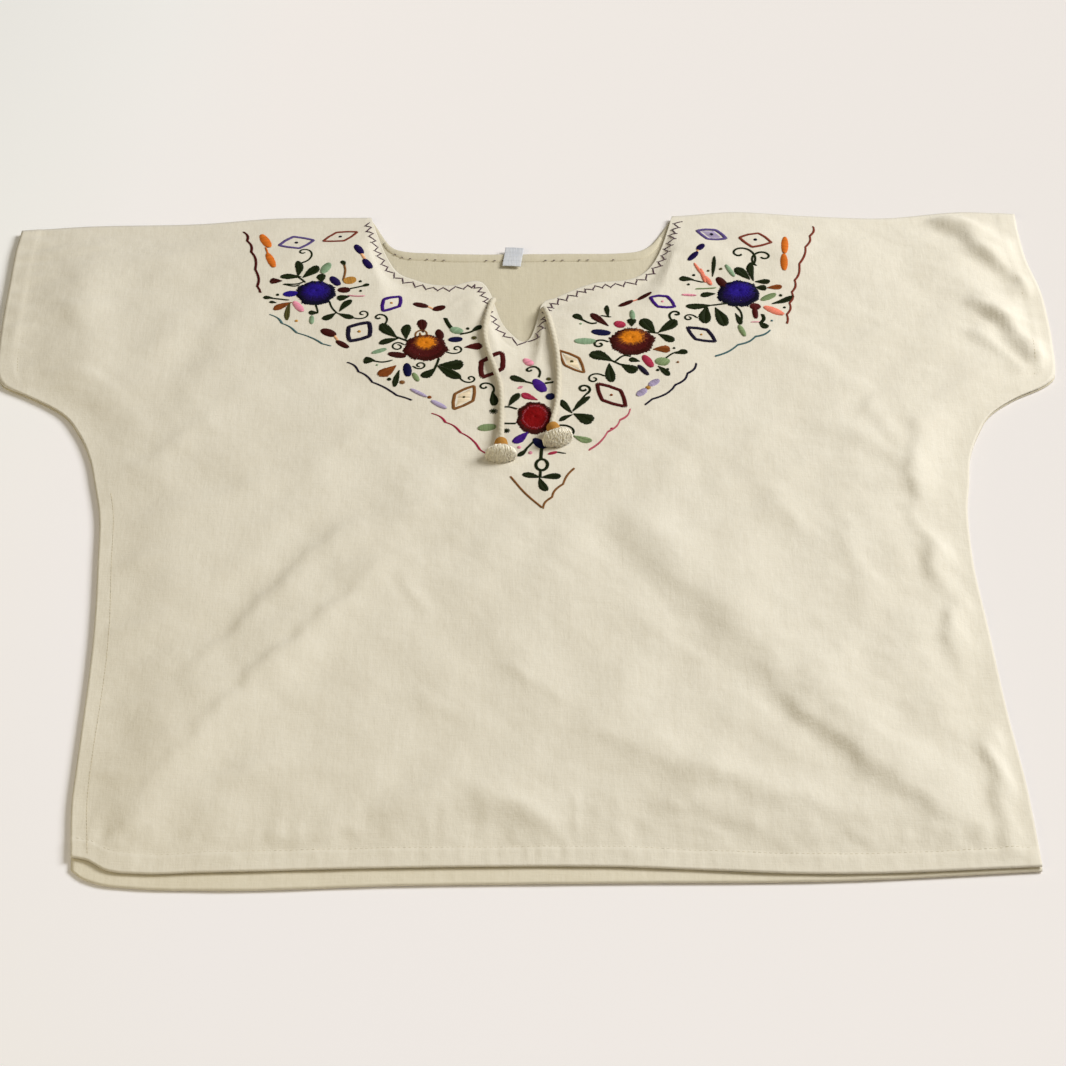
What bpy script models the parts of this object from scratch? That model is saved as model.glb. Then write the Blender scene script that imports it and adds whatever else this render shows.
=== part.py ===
"""A cotton tunic laid flat: front and back with short sleeves cut in one, a notched neck, ties and tassels.

Lengths in the tables are millimetres on the garment: x to the right, y from the hem to the shoulders.
"""
from math import acos, cos, pi, sin

import bmesh
import bpy
import numpy as np
from mathutils import Matrix, Vector

MM = 0.001
WALL = 1.2
HEM_WALL = 1.9
HEM_BAND = 16.0
SEAM_GAP = 0.3
PUFF_HEIGHT = 4.6
PUFF_REACH = 55.0
CORD_DIAMETER = 4.4
CORD_CLEAR = 0.7
CORD_POINTS = 22
CORD_RISE_OVER = 30.0
FACING_WIDTH = 9.5
FACING_END_WIDTH = 3.2
FACING_TAPER = 16.0
FACING_FROM = -107.0
FACING_TO = 102.5
FACING_INSET = 0.8
FACING_WALL = 1.0
LABEL_SIZE = (14.0, 22.0, 0.9)
LABEL_CENTRE = (-9.5, 289.6)
LABEL_LEAN = -0.07
LABEL_LIFT = 0.8
NECK_POWER = 3.0
# How firmly a flat place holds the front up off the back: a soft floor under the folds.
FLOOR_SHARPNESS = 1.4
FLOOR_DROP = 0.28

# Corners of the body and sleeves that the panels' grids run between.
HEM_LEFT, HEM_RIGHT = -285.0, 326.0
SHOULDER_LEFT, SHOULDER_RIGHT = -390.0, 381.0
# The cuffs are turned above this height, measured from their mean reach to each side.
CUFF_ABOVE = 140.0
CUFF_REACH = 391.0
FAR_AWAY = 400.0

# Side and cuff edges from hem to shoulder: x of the left and of the right edge at each y.
SIDE_ROWS = (
    # y, left x, right x
    (-327, -285, 326),
    (-264, -290, 324),
    (-190, -290, 318),
    (-118, -291, 314),
    (-50, -295, 310),
    (0, -299, 311),
    (30, -305, 315),
    (60, -312, 319),
    (85, -322, 327),
    (109, -338, 340),
    (126, -362, 360),
    (138, -382, 380),
    (150, -388, 390),
    (185, -391, 392),
    (240, -392, 391),
    (290, -392, 383),
    (322, -390, 381),
)

# The shoulder edge before the neck is cut out of it, and the hems.
TOP_ROWS = (
    # x, y
    (-390, 322),
    (-346, 327),
    (-250, 331),
    (-190, 338),
    (-120, 339),
    (0, 342),
    (114, 341),
    (160, 346),
    (218, 341),
    (276, 338),
    (345, 346),
    (381, 343),
)
# The underarm curve, as its height at each distance from the middle.
UNDERARM = ((290, -60), (312, 50), (340, 112), (390, 145))
FRONT_HEM = (
    # x, y
    (-285, -320),
    (-274, -323),
    (-262, -331),
    (-240, -334),
    (-204, -333),
    (-78, -329),
    (48, -328),
    (200, -334),
    (326, -328),
)
BACK_HEM = (
    # x, y
    (-285, -329),
    (-279, -335),
    (-267, -341),
    (-249, -344),
    (-199, -346),
    (-78, -342),
    (48, -340),
    (200, -338),
    (326, -330),
)

# How far each neck edge drops below the shoulder edge.
FRONT_NECK = (
    # x, drop
    (-120, 0),
    (-113, 28),
    (-102, 61),
    (-83, 79),
    (-57, 86),
    (-34, 82),
    (-26, 98),
    (-19, 127),
    (-9, 147),
    (-2, 154),
    (4, 149),
    (8, 134),
    (12, 111),
    (23, 102),
    (49, 85),
    (88, 73),
    (104, 42),
    (114, 0),
)
BACK_NECK = ((-120, 0), (-101, 37), (-73, 43), (-10, 46), (42, 45), (80, 43), (96, 34), (114, 0))

# Soft folds of the front, each an arc through three points. Height is up, or down where negative.
FOLDS = (
    # name, start, middle, end, height, width on its left, width on its right
    ("right_diagonal_ridge", (60, 12), (170, -133), (285, -280), 5.0, 20, 28),
    ("right_diagonal_trough", (30, 32), (140, -158), (276, -294), -3.6, 20, 14),
    ("left_long_ridge", (-60, 17), (-170, -138), (-255, -270), 4.2, 20, 22),
    ("left_second_ridge", (-88, -26), (-196, -168), (-262, -298), 2.6, 16, 16),
    ("left_upper_trough", (-55, 82), (-172, -56), (-250, -154), -3.0, 18, 16),
    ("left_lower_trough", (-160, -204), (-210, -255), (-255, -298), -2.2, 14, 14),
    ("left_sleeve_trough", (-226, 248), (-254, 118), (-278, -4), -3.2, 24, 20),
    ("left_sleeve_band", (-378, 230), (-324, 258), (-268, 282), 1.8, 18, 18),
    ("left_cuff_hollow", (-366, 170), (-350, 145), (-334, 120), -1.6, 14, 16),
    ("hem_tent", (-95, -308), (-32, -270), (38, -312), 3.4, 18, 16),
    ("hem_left_tuck", (-186, -304), (-150, -308), (-120, -312), 1.6, 12, 10),
    ("lower_right_ridge", (-12, -158), (96, -240), (265, -314), 3.6, 22, 20),
    ("right_side_trough", (300, -198), (305, -257), (306, -312), -1.8, 12, 10),
    ("right_side_ridge", (311, 28), (305, -28), (302, -82), 1.6, 14, 12),
    ("right_inner_trough", (288, 58), (268, -58), (288, -168), -2.2, 18, 16),
    ("right_sleeve_trough", (338, 314), (358, 276), (378, 238), -2.2, 14, 12),
    ("right_cuff_trough", (340, 234), (360, 196), (378, 158), -2.2, 13, 12),
    ("right_sleeve_ridge", (330, 260), (352, 230), (378, 198), 2.2, 14, 14),
    ("centre_swell", (-20, 32), (10, -48), (40, -138), 1.6, 40, 44),
    ("right_notch_curl", (10, 197), (14, 214), (17, 228), 2.0, 9, 6),
)

# Routes of the tie cords from the notch corners down to their tassels.
LEFT_CORD = ((-24, 238), (-28, 214), (-30, 190), (-27, 168), (-22, 148), (-18, 128), (-17, 100), (-17, 66.2))
RIGHT_CORD = ((14, 227), (19, 200), (22, 180), (24, 160), (24.5, 136), (23, 108), (19.4, 83.4))
# Each tassel's start and heading.
LEFT_TASSEL = ((-17, 65.5), 0.0)
RIGHT_TASSEL = ((19.2, 82.0), 0.35)

# Columns of the front's grid fall on the neck's ends, the notch's corners and its point.
NECK_STOPS = (-120, -30, -2, 16, 114)
SLEEVE_CELLS = 13
NECK_CELLS = 7
NOTCH_CELLS = 4
# Rows of cells: the hem band, the body, the underarm, then the sleeve and neck.
ROW_STOPS = (0, 0.024, 0.56, 0.76, 1)
FRONT_ROWS = (1, 14, 9, 10)
BACK_ROWS = (1, 12, 12, 10)
BACK_COLUMNS = 44
FACING_POINTS = 37

# Rings of a tassel from the cord end: a wrapped neck, a shoulder, then the tuft's dome.
TASSEL_RINGS = (
    # distance along, radius
    (0.0, 2.6),
    (0.8, 3.7),
    (5.4, 3.8),
    (6.2, 3.3),
    (7.2, 4.2),
    (8.8, 4.9),
    (10.6, 5.0),
    (12.2, 4.5),
    (13.6, 3.4),
    (14.4, 1.9),
)
TASSEL_SIDES = 12
TUFT_FROM = 6.6
STRAND_LENGTH = 4.6
STRAND_DROOP = 0.35
STRAND_PARTING = 0.24
TASSEL_LIFT = 6.2
TASSEL_REACH = 15.0
TIP_CLEAR = 1.2
STRAND_TAPER = 0.42


def curve_through(rows, column=1):
    """A smooth function through a table's rows, level beyond its ends."""
    x = np.array([row[0] for row in rows], float)
    y = np.array([row[column] for row in rows], float)
    slope = np.gradient(y, x)
    step = np.diff(y) / np.diff(x)
    limit = 3 * np.minimum(np.abs(np.append(step, step[-1])), np.abs(np.insert(step, 0, step[0])))
    slope = np.sign(slope) * np.minimum(np.abs(slope), limit)

    def value(at):
        at = np.clip(np.asarray(at, float), x[0], x[-1])
        i = np.clip(np.searchsorted(x, at) - 1, 0, len(x) - 2)
        wide = x[i + 1] - x[i]
        t = (at - x[i]) / wide
        a = (2 * t**3 - 3 * t**2 + 1) * y[i] + (t**3 - 2 * t**2 + t) * wide * slope[i]
        b = (3 * t**2 - 2 * t**3) * y[i + 1] + (t**3 - t**2) * wide * slope[i + 1]
        return a + b

    return value


left_edge = curve_through(SIDE_ROWS, 1)
right_edge = curve_through(SIDE_ROWS, 2)
top_edge = curve_through(TOP_ROWS)


def panel_points(columns, rows, hem, neck):
    """Plan x and y of a panel's grid. Columns are shares of the width, and rows of the height."""
    s, v = np.meshgrid(columns, rows)
    low = curve_through(hem)
    drop = curve_through(neck)
    side_left = low(HEM_LEFT) * (1 - v) + top_edge(SHOULDER_LEFT) * v
    side_right = low(HEM_RIGHT) * (1 - v) + top_edge(SHOULDER_RIGHT) * v
    x = left_edge(side_left) * (1 - s) + right_edge(side_right) * s
    shoulder_x = SHOULDER_LEFT * (1 - s) + SHOULDER_RIGHT * s
    hem_x = HEM_LEFT * (1 - s) + HEM_RIGHT * s
    y = low(hem_x) * (1 - v) + top_edge(shoulder_x) * v - drop(shoulder_x) * v**NECK_POWER
    return x, y


def shares(stops, cells):
    """Positions from 0 to 1 with the stated number of cells between each two stops."""
    parts = [np.linspace(a, b, n, endpoint=False) for a, b, n in zip(stops, stops[1:], cells)]
    return np.append(np.concatenate(parts), stops[-1])


def width_share(x):
    return (x - SHOULDER_LEFT) / (SHOULDER_RIGHT - SHOULDER_LEFT)


def fold_height(x, y, fold):
    """One fold's height at each point: an arc with its own slope on either side, fading at its ends."""
    name, start, middle, end, height, left, right = fold
    t = np.linspace(0, 1, 25)[:, None]
    a, b, c = (np.array(p, float) for p in (start, middle, end))
    bend = 2 * b - (a + c) / 2
    line = (1 - t) ** 2 * a + 2 * t * (1 - t) * bend + t**2 * c
    along = np.gradient(line, axis=0)
    along /= np.linalg.norm(along, axis=1)[:, None]
    apart = np.stack([x, y], -1)[..., None, :] - line
    nearest = (apart**2).sum(-1).argmin(-1)
    gap = np.take_along_axis(apart, nearest[..., None, None], -2)[..., 0, :]
    side = along[nearest, 0] * gap[..., 1] - along[nearest, 1] * gap[..., 0]
    width = np.where(side > 0, left, right)
    fade = np.sin(pi * (0.08 + 0.84 * nearest / 24)) ** 0.7
    return height * fade * np.exp(-(gap**2).sum(-1) / width**2)


def edge_distance(x, y, hem, neck):
    """About how far each point is from the panel's nearest edge."""
    low, drop = curve_through(hem), curve_through(neck)
    sides = np.minimum(x - left_edge(y), right_edge(y) - x)
    out = [row[0] for row in UNDERARM]
    rise = [row[1] for row in UNDERARM]
    under = np.where(np.abs(x) > out[0], y - np.interp(np.abs(x), out, rise), FAR_AWAY)
    ends = np.minimum(y - low(x), top_edge(x) - drop(x) - y)
    return np.clip(np.minimum(np.minimum(sides, ends), np.maximum(under, sides)), 0, None)


def front_under(x, y):
    """Height of the front's inner face above the surface it rests on."""
    inside = np.clip(edge_distance(x, y, FRONT_HEM, FRONT_NECK) / PUFF_REACH, 0, 1)
    rise = inside * inside * (3 - 2 * inside)
    folds = sum(fold_height(x, y, fold) for fold in FOLDS)
    held = np.clip(0.35 + 0.65 * rise, 0, 1)
    lift = PUFF_HEIGHT * rise + folds * held
    return HEM_WALL + SEAM_GAP + np.log1p(np.exp(lift * FLOOR_SHARPNESS)) / FLOOR_SHARPNESS - FLOOR_DROP


def front_top(x, y):
    return front_under(x, y) + WALL


def object_from(bm, name, collection, colour):
    mesh = bpy.data.meshes.new(name)
    bm.to_mesh(mesh)
    bm.free()
    obj = bpy.data.objects.new(name, mesh)
    collection.objects.link(obj)
    dress(obj, colour)
    return obj


def dress(obj, colour):
    """Gives a piece its own plain cotton material."""
    material = bpy.data.materials.new(obj.name + "_cloth")
    material.use_nodes = True
    shader = material.node_tree.nodes["Principled BSDF"]
    shader.inputs["Base Color"].default_value = (*colour, 1)
    shader.inputs["Roughness"].default_value = 0.9
    obj.data.materials.append(material)


def cloth_sheet(name, collection, x, y, z, thick, colour):
    """A grid laid on the points and thickened upwards; thick is the wall at each point."""
    rows, columns = x.shape
    bm = bmesh.new()
    bmesh.ops.create_grid(bm, x_segments=columns - 1, y_segments=rows - 1, size=1)
    bm.verts.ensure_lookup_table()
    for i, vert in enumerate(bm.verts):
        row, column = divmod(i, columns)
        vert.co = Vector((x[row, column], y[row, column], z[row, column])) * MM
    bmesh.ops.recalc_face_normals(bm, faces=bm.faces)
    if sum(face.normal.z for face in bm.faces) < 0:
        bmesh.ops.reverse_faces(bm, faces=bm.faces)
    obj = object_from(bm, name, collection, colour)
    most = float(np.max(thick))
    group = obj.vertex_groups.new(name="wall")
    for i, share in enumerate((np.asarray(thick) / most).ravel()):
        group.add([i], float(share), "REPLACE")
    wall = obj.modifiers.new("wall", "SOLIDIFY")
    wall.thickness = most * MM
    wall.offset = 1
    wall.vertex_group = "wall"
    wall.use_rim = True
    return obj


def hem_wall(x, y, hem):
    """The turned hem and cuffs are thicker than the single cloth."""
    low = curve_through(hem)
    inside = np.minimum(y - low(x), np.where(y > CUFF_ABOVE, CUFF_REACH - np.abs(x), FAR_AWAY))
    return np.where(inside < HEM_BAND, HEM_WALL, WALL)


def make_back(collection):
    columns = np.linspace(0, 1, BACK_COLUMNS + 1)
    rows = shares(ROW_STOPS, BACK_ROWS)
    x, y = panel_points(columns, rows, BACK_HEM, BACK_NECK)
    thick = hem_wall(x, y, BACK_HEM)
    return cloth_sheet("back_panel", collection, x, y, 0 * x, thick, (0.80, 0.75, 0.62))


def make_front(collection):
    stops = tuple(width_share(x) for x in (SHOULDER_LEFT, *NECK_STOPS, SHOULDER_RIGHT))
    cells = (SLEEVE_CELLS, NECK_CELLS, NOTCH_CELLS, NOTCH_CELLS, NECK_CELLS, SLEEVE_CELLS)
    rows = shares(ROW_STOPS, FRONT_ROWS)
    x, y = panel_points(shares(stops, cells), rows, FRONT_HEM, FRONT_NECK)
    thick = hem_wall(x, y, FRONT_HEM)
    return cloth_sheet("front_panel", collection, x, y, front_under(x, y), thick, (0.84, 0.80, 0.68))


def make_facing(collection):
    """The turned strip inside the back neck, made from the back's own neck edge."""
    x = np.linspace(FACING_FROM, FACING_TO, FACING_POINTS)
    edge = np.stack([x, top_edge(x) - curve_through(BACK_NECK)(x)], axis=-1)
    heading = np.gradient(edge, axis=0)
    heading /= np.linalg.norm(heading, axis=1)[:, None]
    into_cloth = np.stack([heading[:, 1], -heading[:, 0]], axis=-1)
    middle = np.clip(np.minimum(x - FACING_FROM, FACING_TO - x) / FACING_TAPER, 0, 1)
    wide = FACING_END_WIDTH + (FACING_WIDTH - FACING_END_WIDTH) * middle
    across = FACING_INSET + np.array((1.0, 0.5, 0.0))[:, None] * wide
    px, py = (edge[:, k] + across * into_cloth[:, k] for k in range(2))
    pz = np.full_like(px, WALL + SEAM_GAP)
    thick = np.full_like(px, FACING_WALL)
    return cloth_sheet("back_neck_facing", collection, px, py, pz, thick, (0.74, 0.70, 0.58))


def make_label(collection):
    """A blank woven tab sewn over the facing, its upper end past the neck edge."""
    wide, tall, thick = LABEL_SIZE
    px, py = np.meshgrid(np.linspace(-wide / 2, wide / 2, 4), np.linspace(-tall / 2, tall / 2, 7))
    lift = WALL + FACING_WALL + 2 * SEAM_GAP + LABEL_LIFT * np.clip(py / tall + 0.1, 0, 1) ** 2
    px, py = px - LABEL_LEAN * py + LABEL_CENTRE[0], py + LABEL_LEAN * px + LABEL_CENTRE[1]
    return cloth_sheet("neck_label", collection, px, py, lift, np.full_like(px, thick), (0.78, 0.79, 0.80))


def smooth_route(points, count):
    """Evenly spaced plan points along a smooth line through the chosen ones."""
    points = np.array(points, float)
    along = np.append(0, np.cumsum(np.linalg.norm(np.diff(points, axis=0), axis=1)))
    at = np.linspace(0, along[-1], count)
    fits = [curve_through(list(zip(along, points[:, k]))) for k in range(2)]
    return np.stack([fit(at) for fit in fits], axis=1)


def make_cord(name, collection, route, tassel):
    """A round cord on the front, rising at its end to the middle of its tassel's neck."""
    plan = smooth_route(route, CORD_POINTS)
    high = front_top(plan[:, 0], plan[:, 1]) + CORD_DIAMETER / 2 + CORD_CLEAR
    near = np.clip(1 - np.hypot(*(plan - plan[-1]).T) / CORD_RISE_OVER, 0, 1)
    blend = near * near * (3 - 2 * near)
    high = high * (1 - blend) + tassel_height(*tassel) * blend
    data = bpy.data.curves.new(name, "CURVE")
    data.dimensions = "3D"
    data.bevel_depth = CORD_DIAMETER / 2 * MM
    data.bevel_resolution = 1
    data.use_fill_caps = True
    line = data.splines.new("POLY")
    line.points.add(len(plan) - 1)
    for point, (x, y), z in zip(line.points, plan, high):
        point.co = (x * MM, y * MM, z * MM, 1)
    obj = bpy.data.objects.new(name, data)
    collection.objects.link(obj)
    dress(obj, (0.80, 0.76, 0.66))
    return obj


def tassel_rings(bm):
    """A sphere whose rings take the table's places and radii, its axis along -Y."""
    bands = len(TASSEL_RINGS) + 1
    made = bmesh.ops.create_uvsphere(bm, u_segments=TASSEL_SIDES, v_segments=bands, radius=1)
    for vert in made["verts"]:
        ring = round(acos(max(-1.0, min(1.0, vert.co.z))) / pi * bands)
        far, radius = TASSEL_RINGS[min(max(ring - 1, 0), len(TASSEL_RINGS) - 1)]
        flat = Vector((vert.co.x, vert.co.y))
        if ring in (0, bands):
            flat = Vector((0, 0))
            far += 0.4 if ring else -0.2
        else:
            flat = flat.normalized() * radius
        vert.co = Vector((flat.x, -far, flat.y)) * MM
    if bm.calc_volume(signed=True) < 0:
        bmesh.ops.reverse_faces(bm, faces=bm.faces)


def grow_strands(bm, lowest):
    """Draws the tuft's faces out into separate strands, none below the stated height."""
    bm.normal_update()
    tuft = [f for f in bm.faces if f.calc_center_median().y < -TUFT_FROM * MM and f.normal.z > -0.3]
    bmesh.ops.inset_individual(bm, faces=tuft, thickness=STRAND_PARTING * MM)
    bm.normal_update()
    for k, face in enumerate(list(tuft)):
        outward = (face.normal + Vector((0, -0.5, 0))).normalized()
        long = STRAND_LENGTH * (0.85 + 0.3 * sin(2.4 * k) ** 2) * MM
        made = bmesh.ops.extrude_discrete_faces(bm, faces=[face])["faces"][0]
        middle = made.calc_center_median()
        tip = middle + outward * long + Vector((0, 0, -STRAND_DROOP * long))
        tip.z = max(tip.z, lowest)
        for vert in made.verts:
            vert.co = tip + (vert.co - middle) * STRAND_TAPER


def cloth_under(at, heading):
    """The highest cloth under a tassel that starts at a plan point and points along its heading."""
    x, y = at
    steps = np.linspace(0, TASSEL_REACH, 4)
    return float(np.max(front_top(x + steps * sin(heading), y - steps * cos(heading))))


def tassel_height(at, heading):
    return cloth_under(at, heading) + TASSEL_LIFT


def make_tassel(name, collection, at, heading):
    """A tassel lying on the front with its neck towards the cord; heading is its angle in plan."""
    bm = bmesh.new()
    tassel_rings(bm)
    grow_strands(bm, (TIP_CLEAR - TASSEL_LIFT) * MM)
    place = Vector((*at, tassel_height(at, heading))) * MM
    bmesh.ops.rotate(bm, verts=bm.verts, cent=(0, 0, 0), matrix=Matrix.Rotation(heading, 3, "Z"))
    bmesh.ops.translate(bm, verts=bm.verts, vec=place)
    return object_from(bm, name, collection, (0.82, 0.77, 0.64))


def clear_scene():
    for obj in list(bpy.data.objects):
        bpy.data.objects.remove(obj, do_unlink=True)


clear_scene()
garment = bpy.data.collections.new("embroidered_tunic")
bpy.context.scene.collection.children.link(garment)
make_back(garment)
make_front(garment)
make_facing(garment)
make_label(garment)
make_cord("tie_cord_left", garment, LEFT_CORD, LEFT_TASSEL)
make_cord("tie_cord_right", garment, RIGHT_CORD, RIGHT_TASSEL)
make_tassel("tassel_left", garment, *LEFT_TASSEL)
make_tassel("tassel_right", garment, *RIGHT_TASSEL)
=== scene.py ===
# %% [markdown]
# An embroidered cotton tunic lies flat on a pale floor. This lesson builds what a look at the real one
# shows: thin creased cloth, real stitches, twisted cords and yarn tassels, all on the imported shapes.
# Lengths in the tables are millimetres on the garment: x to the right, y from the hem to the shoulders.

from math import cos, pi, radians, sin

import bmesh
import bpy
import numpy as np
from mathutils import Matrix, Vector


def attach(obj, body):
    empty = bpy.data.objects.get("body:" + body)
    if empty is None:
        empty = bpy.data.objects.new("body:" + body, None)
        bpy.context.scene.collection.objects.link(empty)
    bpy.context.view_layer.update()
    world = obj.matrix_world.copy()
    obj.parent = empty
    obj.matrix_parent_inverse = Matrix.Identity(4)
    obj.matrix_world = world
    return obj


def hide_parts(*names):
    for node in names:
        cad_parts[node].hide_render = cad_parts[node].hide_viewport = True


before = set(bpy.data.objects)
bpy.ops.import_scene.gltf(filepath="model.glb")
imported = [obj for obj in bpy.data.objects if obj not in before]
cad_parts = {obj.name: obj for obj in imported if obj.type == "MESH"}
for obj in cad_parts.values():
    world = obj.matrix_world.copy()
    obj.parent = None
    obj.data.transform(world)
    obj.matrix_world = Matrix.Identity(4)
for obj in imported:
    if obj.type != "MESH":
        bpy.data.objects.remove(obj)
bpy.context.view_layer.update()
MM = 0.001
rng = np.random.default_rng(7)

# %% [markdown]
# The garment's outline and its main folds are the same functions that shaped the solids. A boundary
# curve and a short table of arcs are easier to change than a sculpted mesh, and every piece that lies
# on the cloth can ask the same function how high the cloth is at its place.
# %% Outline and folds
WALL = 1.2
HEM_WALL = 1.9
HEM_BAND = 16.0
SEAM_GAP = 0.3
PUFF_HEIGHT = 4.6
PUFF_REACH = 55.0
NECK_POWER = 3.0
# How firmly a flat place holds the front up off the back: a soft floor under the folds.
FLOOR_SHARPNESS = 1.4
FLOOR_DROP = 0.28

# Corners of the body and sleeves that the panels' grids run between.
HEM_LEFT, HEM_RIGHT = -285.0, 326.0
SHOULDER_LEFT, SHOULDER_RIGHT = -390.0, 381.0
FAR_AWAY = 400.0

# Side and cuff edges from hem to shoulder: x of the left and of the right edge at each y.
SIDE_ROWS = (
    # y, left x, right x
    (-327, -285, 326),
    (-264, -290, 324),
    (-190, -290, 318),
    (-118, -291, 314),
    (-50, -295, 310),
    (0, -299, 311),
    (30, -305, 315),
    (60, -312, 319),
    (85, -322, 327),
    (109, -338, 340),
    (126, -362, 360),
    (138, -382, 380),
    (150, -388, 390),
    (185, -391, 392),
    (240, -392, 391),
    (290, -392, 383),
    (322, -390, 381),
)

# The shoulder edge before the neck is cut out of it, and the hems.
TOP_ROWS = (
    # x, y
    (-390, 322),
    (-346, 327),
    (-250, 331),
    (-190, 338),
    (-120, 339),
    (0, 342),
    (114, 341),
    (160, 346),
    (218, 341),
    (276, 338),
    (345, 346),
    (381, 343),
)
# The underarm curve, as its height at each distance from the middle.
UNDERARM = ((290, -60), (312, 50), (340, 112), (390, 145))
FRONT_HEM = (
    # x, y
    (-285, -320),
    (-274, -323),
    (-262, -331),
    (-240, -334),
    (-204, -333),
    (-78, -329),
    (48, -328),
    (200, -334),
    (326, -328),
)
BACK_HEM = (
    # x, y
    (-285, -329),
    (-279, -335),
    (-267, -341),
    (-249, -344),
    (-199, -346),
    (-78, -342),
    (48, -340),
    (200, -338),
    (326, -330),
)

# How far each neck edge drops below the shoulder edge.
FRONT_NECK = (
    # x, drop
    (-120, 0),
    (-113, 28),
    (-102, 61),
    (-83, 79),
    (-57, 86),
    (-34, 82),
    (-26, 98),
    (-19, 127),
    (-9, 147),
    (-2, 154),
    (4, 149),
    (8, 134),
    (12, 111),
    (23, 102),
    (49, 85),
    (88, 73),
    (104, 42),
    (114, 0),
)
BACK_NECK = ((-120, 0), (-101, 37), (-73, 43), (-10, 46), (42, 45), (80, 43), (96, 34), (114, 0))

# Soft folds of the front, each an arc through three points. Height is up, or down where negative.
FOLDS = (
    # name, start, middle, end, height, width on its left, width on its right
    ("right_diagonal_ridge", (60, 12), (170, -133), (285, -280), 5.0, 20, 28),
    ("right_diagonal_trough", (30, 32), (140, -158), (276, -294), -3.6, 20, 14),
    ("left_long_ridge", (-60, 17), (-170, -138), (-255, -270), 4.2, 20, 22),
    ("left_second_ridge", (-88, -26), (-196, -168), (-262, -298), 2.6, 16, 16),
    ("left_upper_trough", (-55, 82), (-172, -56), (-250, -154), -3.0, 18, 16),
    ("left_lower_trough", (-160, -204), (-210, -255), (-255, -298), -2.2, 14, 14),
    ("left_sleeve_trough", (-226, 248), (-254, 118), (-278, -4), -3.2, 24, 20),
    ("left_sleeve_band", (-378, 230), (-324, 258), (-268, 282), 1.8, 18, 18),
    ("left_cuff_hollow", (-366, 170), (-350, 145), (-334, 120), -1.6, 14, 16),
    ("hem_tent", (-95, -308), (-32, -270), (38, -312), 3.4, 18, 16),
    ("hem_left_tuck", (-186, -304), (-150, -308), (-120, -312), 1.6, 12, 10),
    ("lower_right_ridge", (-12, -158), (96, -240), (265, -314), 3.6, 22, 20),
    ("right_side_trough", (300, -198), (305, -257), (306, -312), -1.8, 12, 10),
    ("right_side_ridge", (311, 28), (305, -28), (302, -82), 1.6, 14, 12),
    ("right_inner_trough", (288, 58), (268, -58), (288, -168), -2.2, 18, 16),
    ("right_sleeve_trough", (338, 314), (358, 276), (378, 238), -2.2, 14, 12),
    ("right_cuff_trough", (340, 234), (360, 196), (378, 158), -2.2, 13, 12),
    ("right_sleeve_ridge", (330, 260), (352, 230), (378, 198), 2.2, 14, 14),
    ("centre_swell", (-20, 32), (10, -48), (40, -138), 1.6, 40, 44),
    ("right_notch_curl", (10, 197), (14, 214), (17, 228), 2.0, 9, 6),
)


def curve_through(rows, column=1):
    """A smooth function through a table's rows, level beyond its ends."""
    x = np.array([row[0] for row in rows], float)
    y = np.array([row[column] for row in rows], float)
    slope = np.gradient(y, x)
    step = np.diff(y) / np.diff(x)
    limit = 3 * np.minimum(np.abs(np.append(step, step[-1])), np.abs(np.insert(step, 0, step[0])))
    slope = np.sign(slope) * np.minimum(np.abs(slope), limit)

    def value(at):
        at = np.clip(np.asarray(at, float), x[0], x[-1])
        i = np.clip(np.searchsorted(x, at) - 1, 0, len(x) - 2)
        wide = x[i + 1] - x[i]
        t = (at - x[i]) / wide
        a = (2 * t**3 - 3 * t**2 + 1) * y[i] + (t**3 - 2 * t**2 + t) * wide * slope[i]
        b = (3 * t**2 - 2 * t**3) * y[i + 1] + (t**3 - t**2) * wide * slope[i + 1]
        return a + b

    return value


left_edge = curve_through(SIDE_ROWS, 1)
right_edge = curve_through(SIDE_ROWS, 2)
top_edge = curve_through(TOP_ROWS)


def panel_points(columns, rows, hem, neck):
    """Plan x and y of a panel's grid. Columns are shares of the width, and rows of the height."""
    s, v = np.meshgrid(columns, rows)
    low = curve_through(hem)
    drop = curve_through(neck)
    side_left = low(HEM_LEFT) * (1 - v) + top_edge(SHOULDER_LEFT) * v
    side_right = low(HEM_RIGHT) * (1 - v) + top_edge(SHOULDER_RIGHT) * v
    x = left_edge(side_left) * (1 - s) + right_edge(side_right) * s
    shoulder_x = SHOULDER_LEFT * (1 - s) + SHOULDER_RIGHT * s
    hem_x = HEM_LEFT * (1 - s) + HEM_RIGHT * s
    y = low(hem_x) * (1 - v) + top_edge(shoulder_x) * v - drop(shoulder_x) * v**NECK_POWER
    return x, y


def shares(stops, cells):
    """Positions from 0 to 1 with the stated number of cells between each two stops."""
    parts = [np.linspace(a, b, n, endpoint=False) for a, b, n in zip(stops, stops[1:], cells)]
    return np.append(np.concatenate(parts), stops[-1])


def width_share(x):
    return (x - SHOULDER_LEFT) / (SHOULDER_RIGHT - SHOULDER_LEFT)


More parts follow.
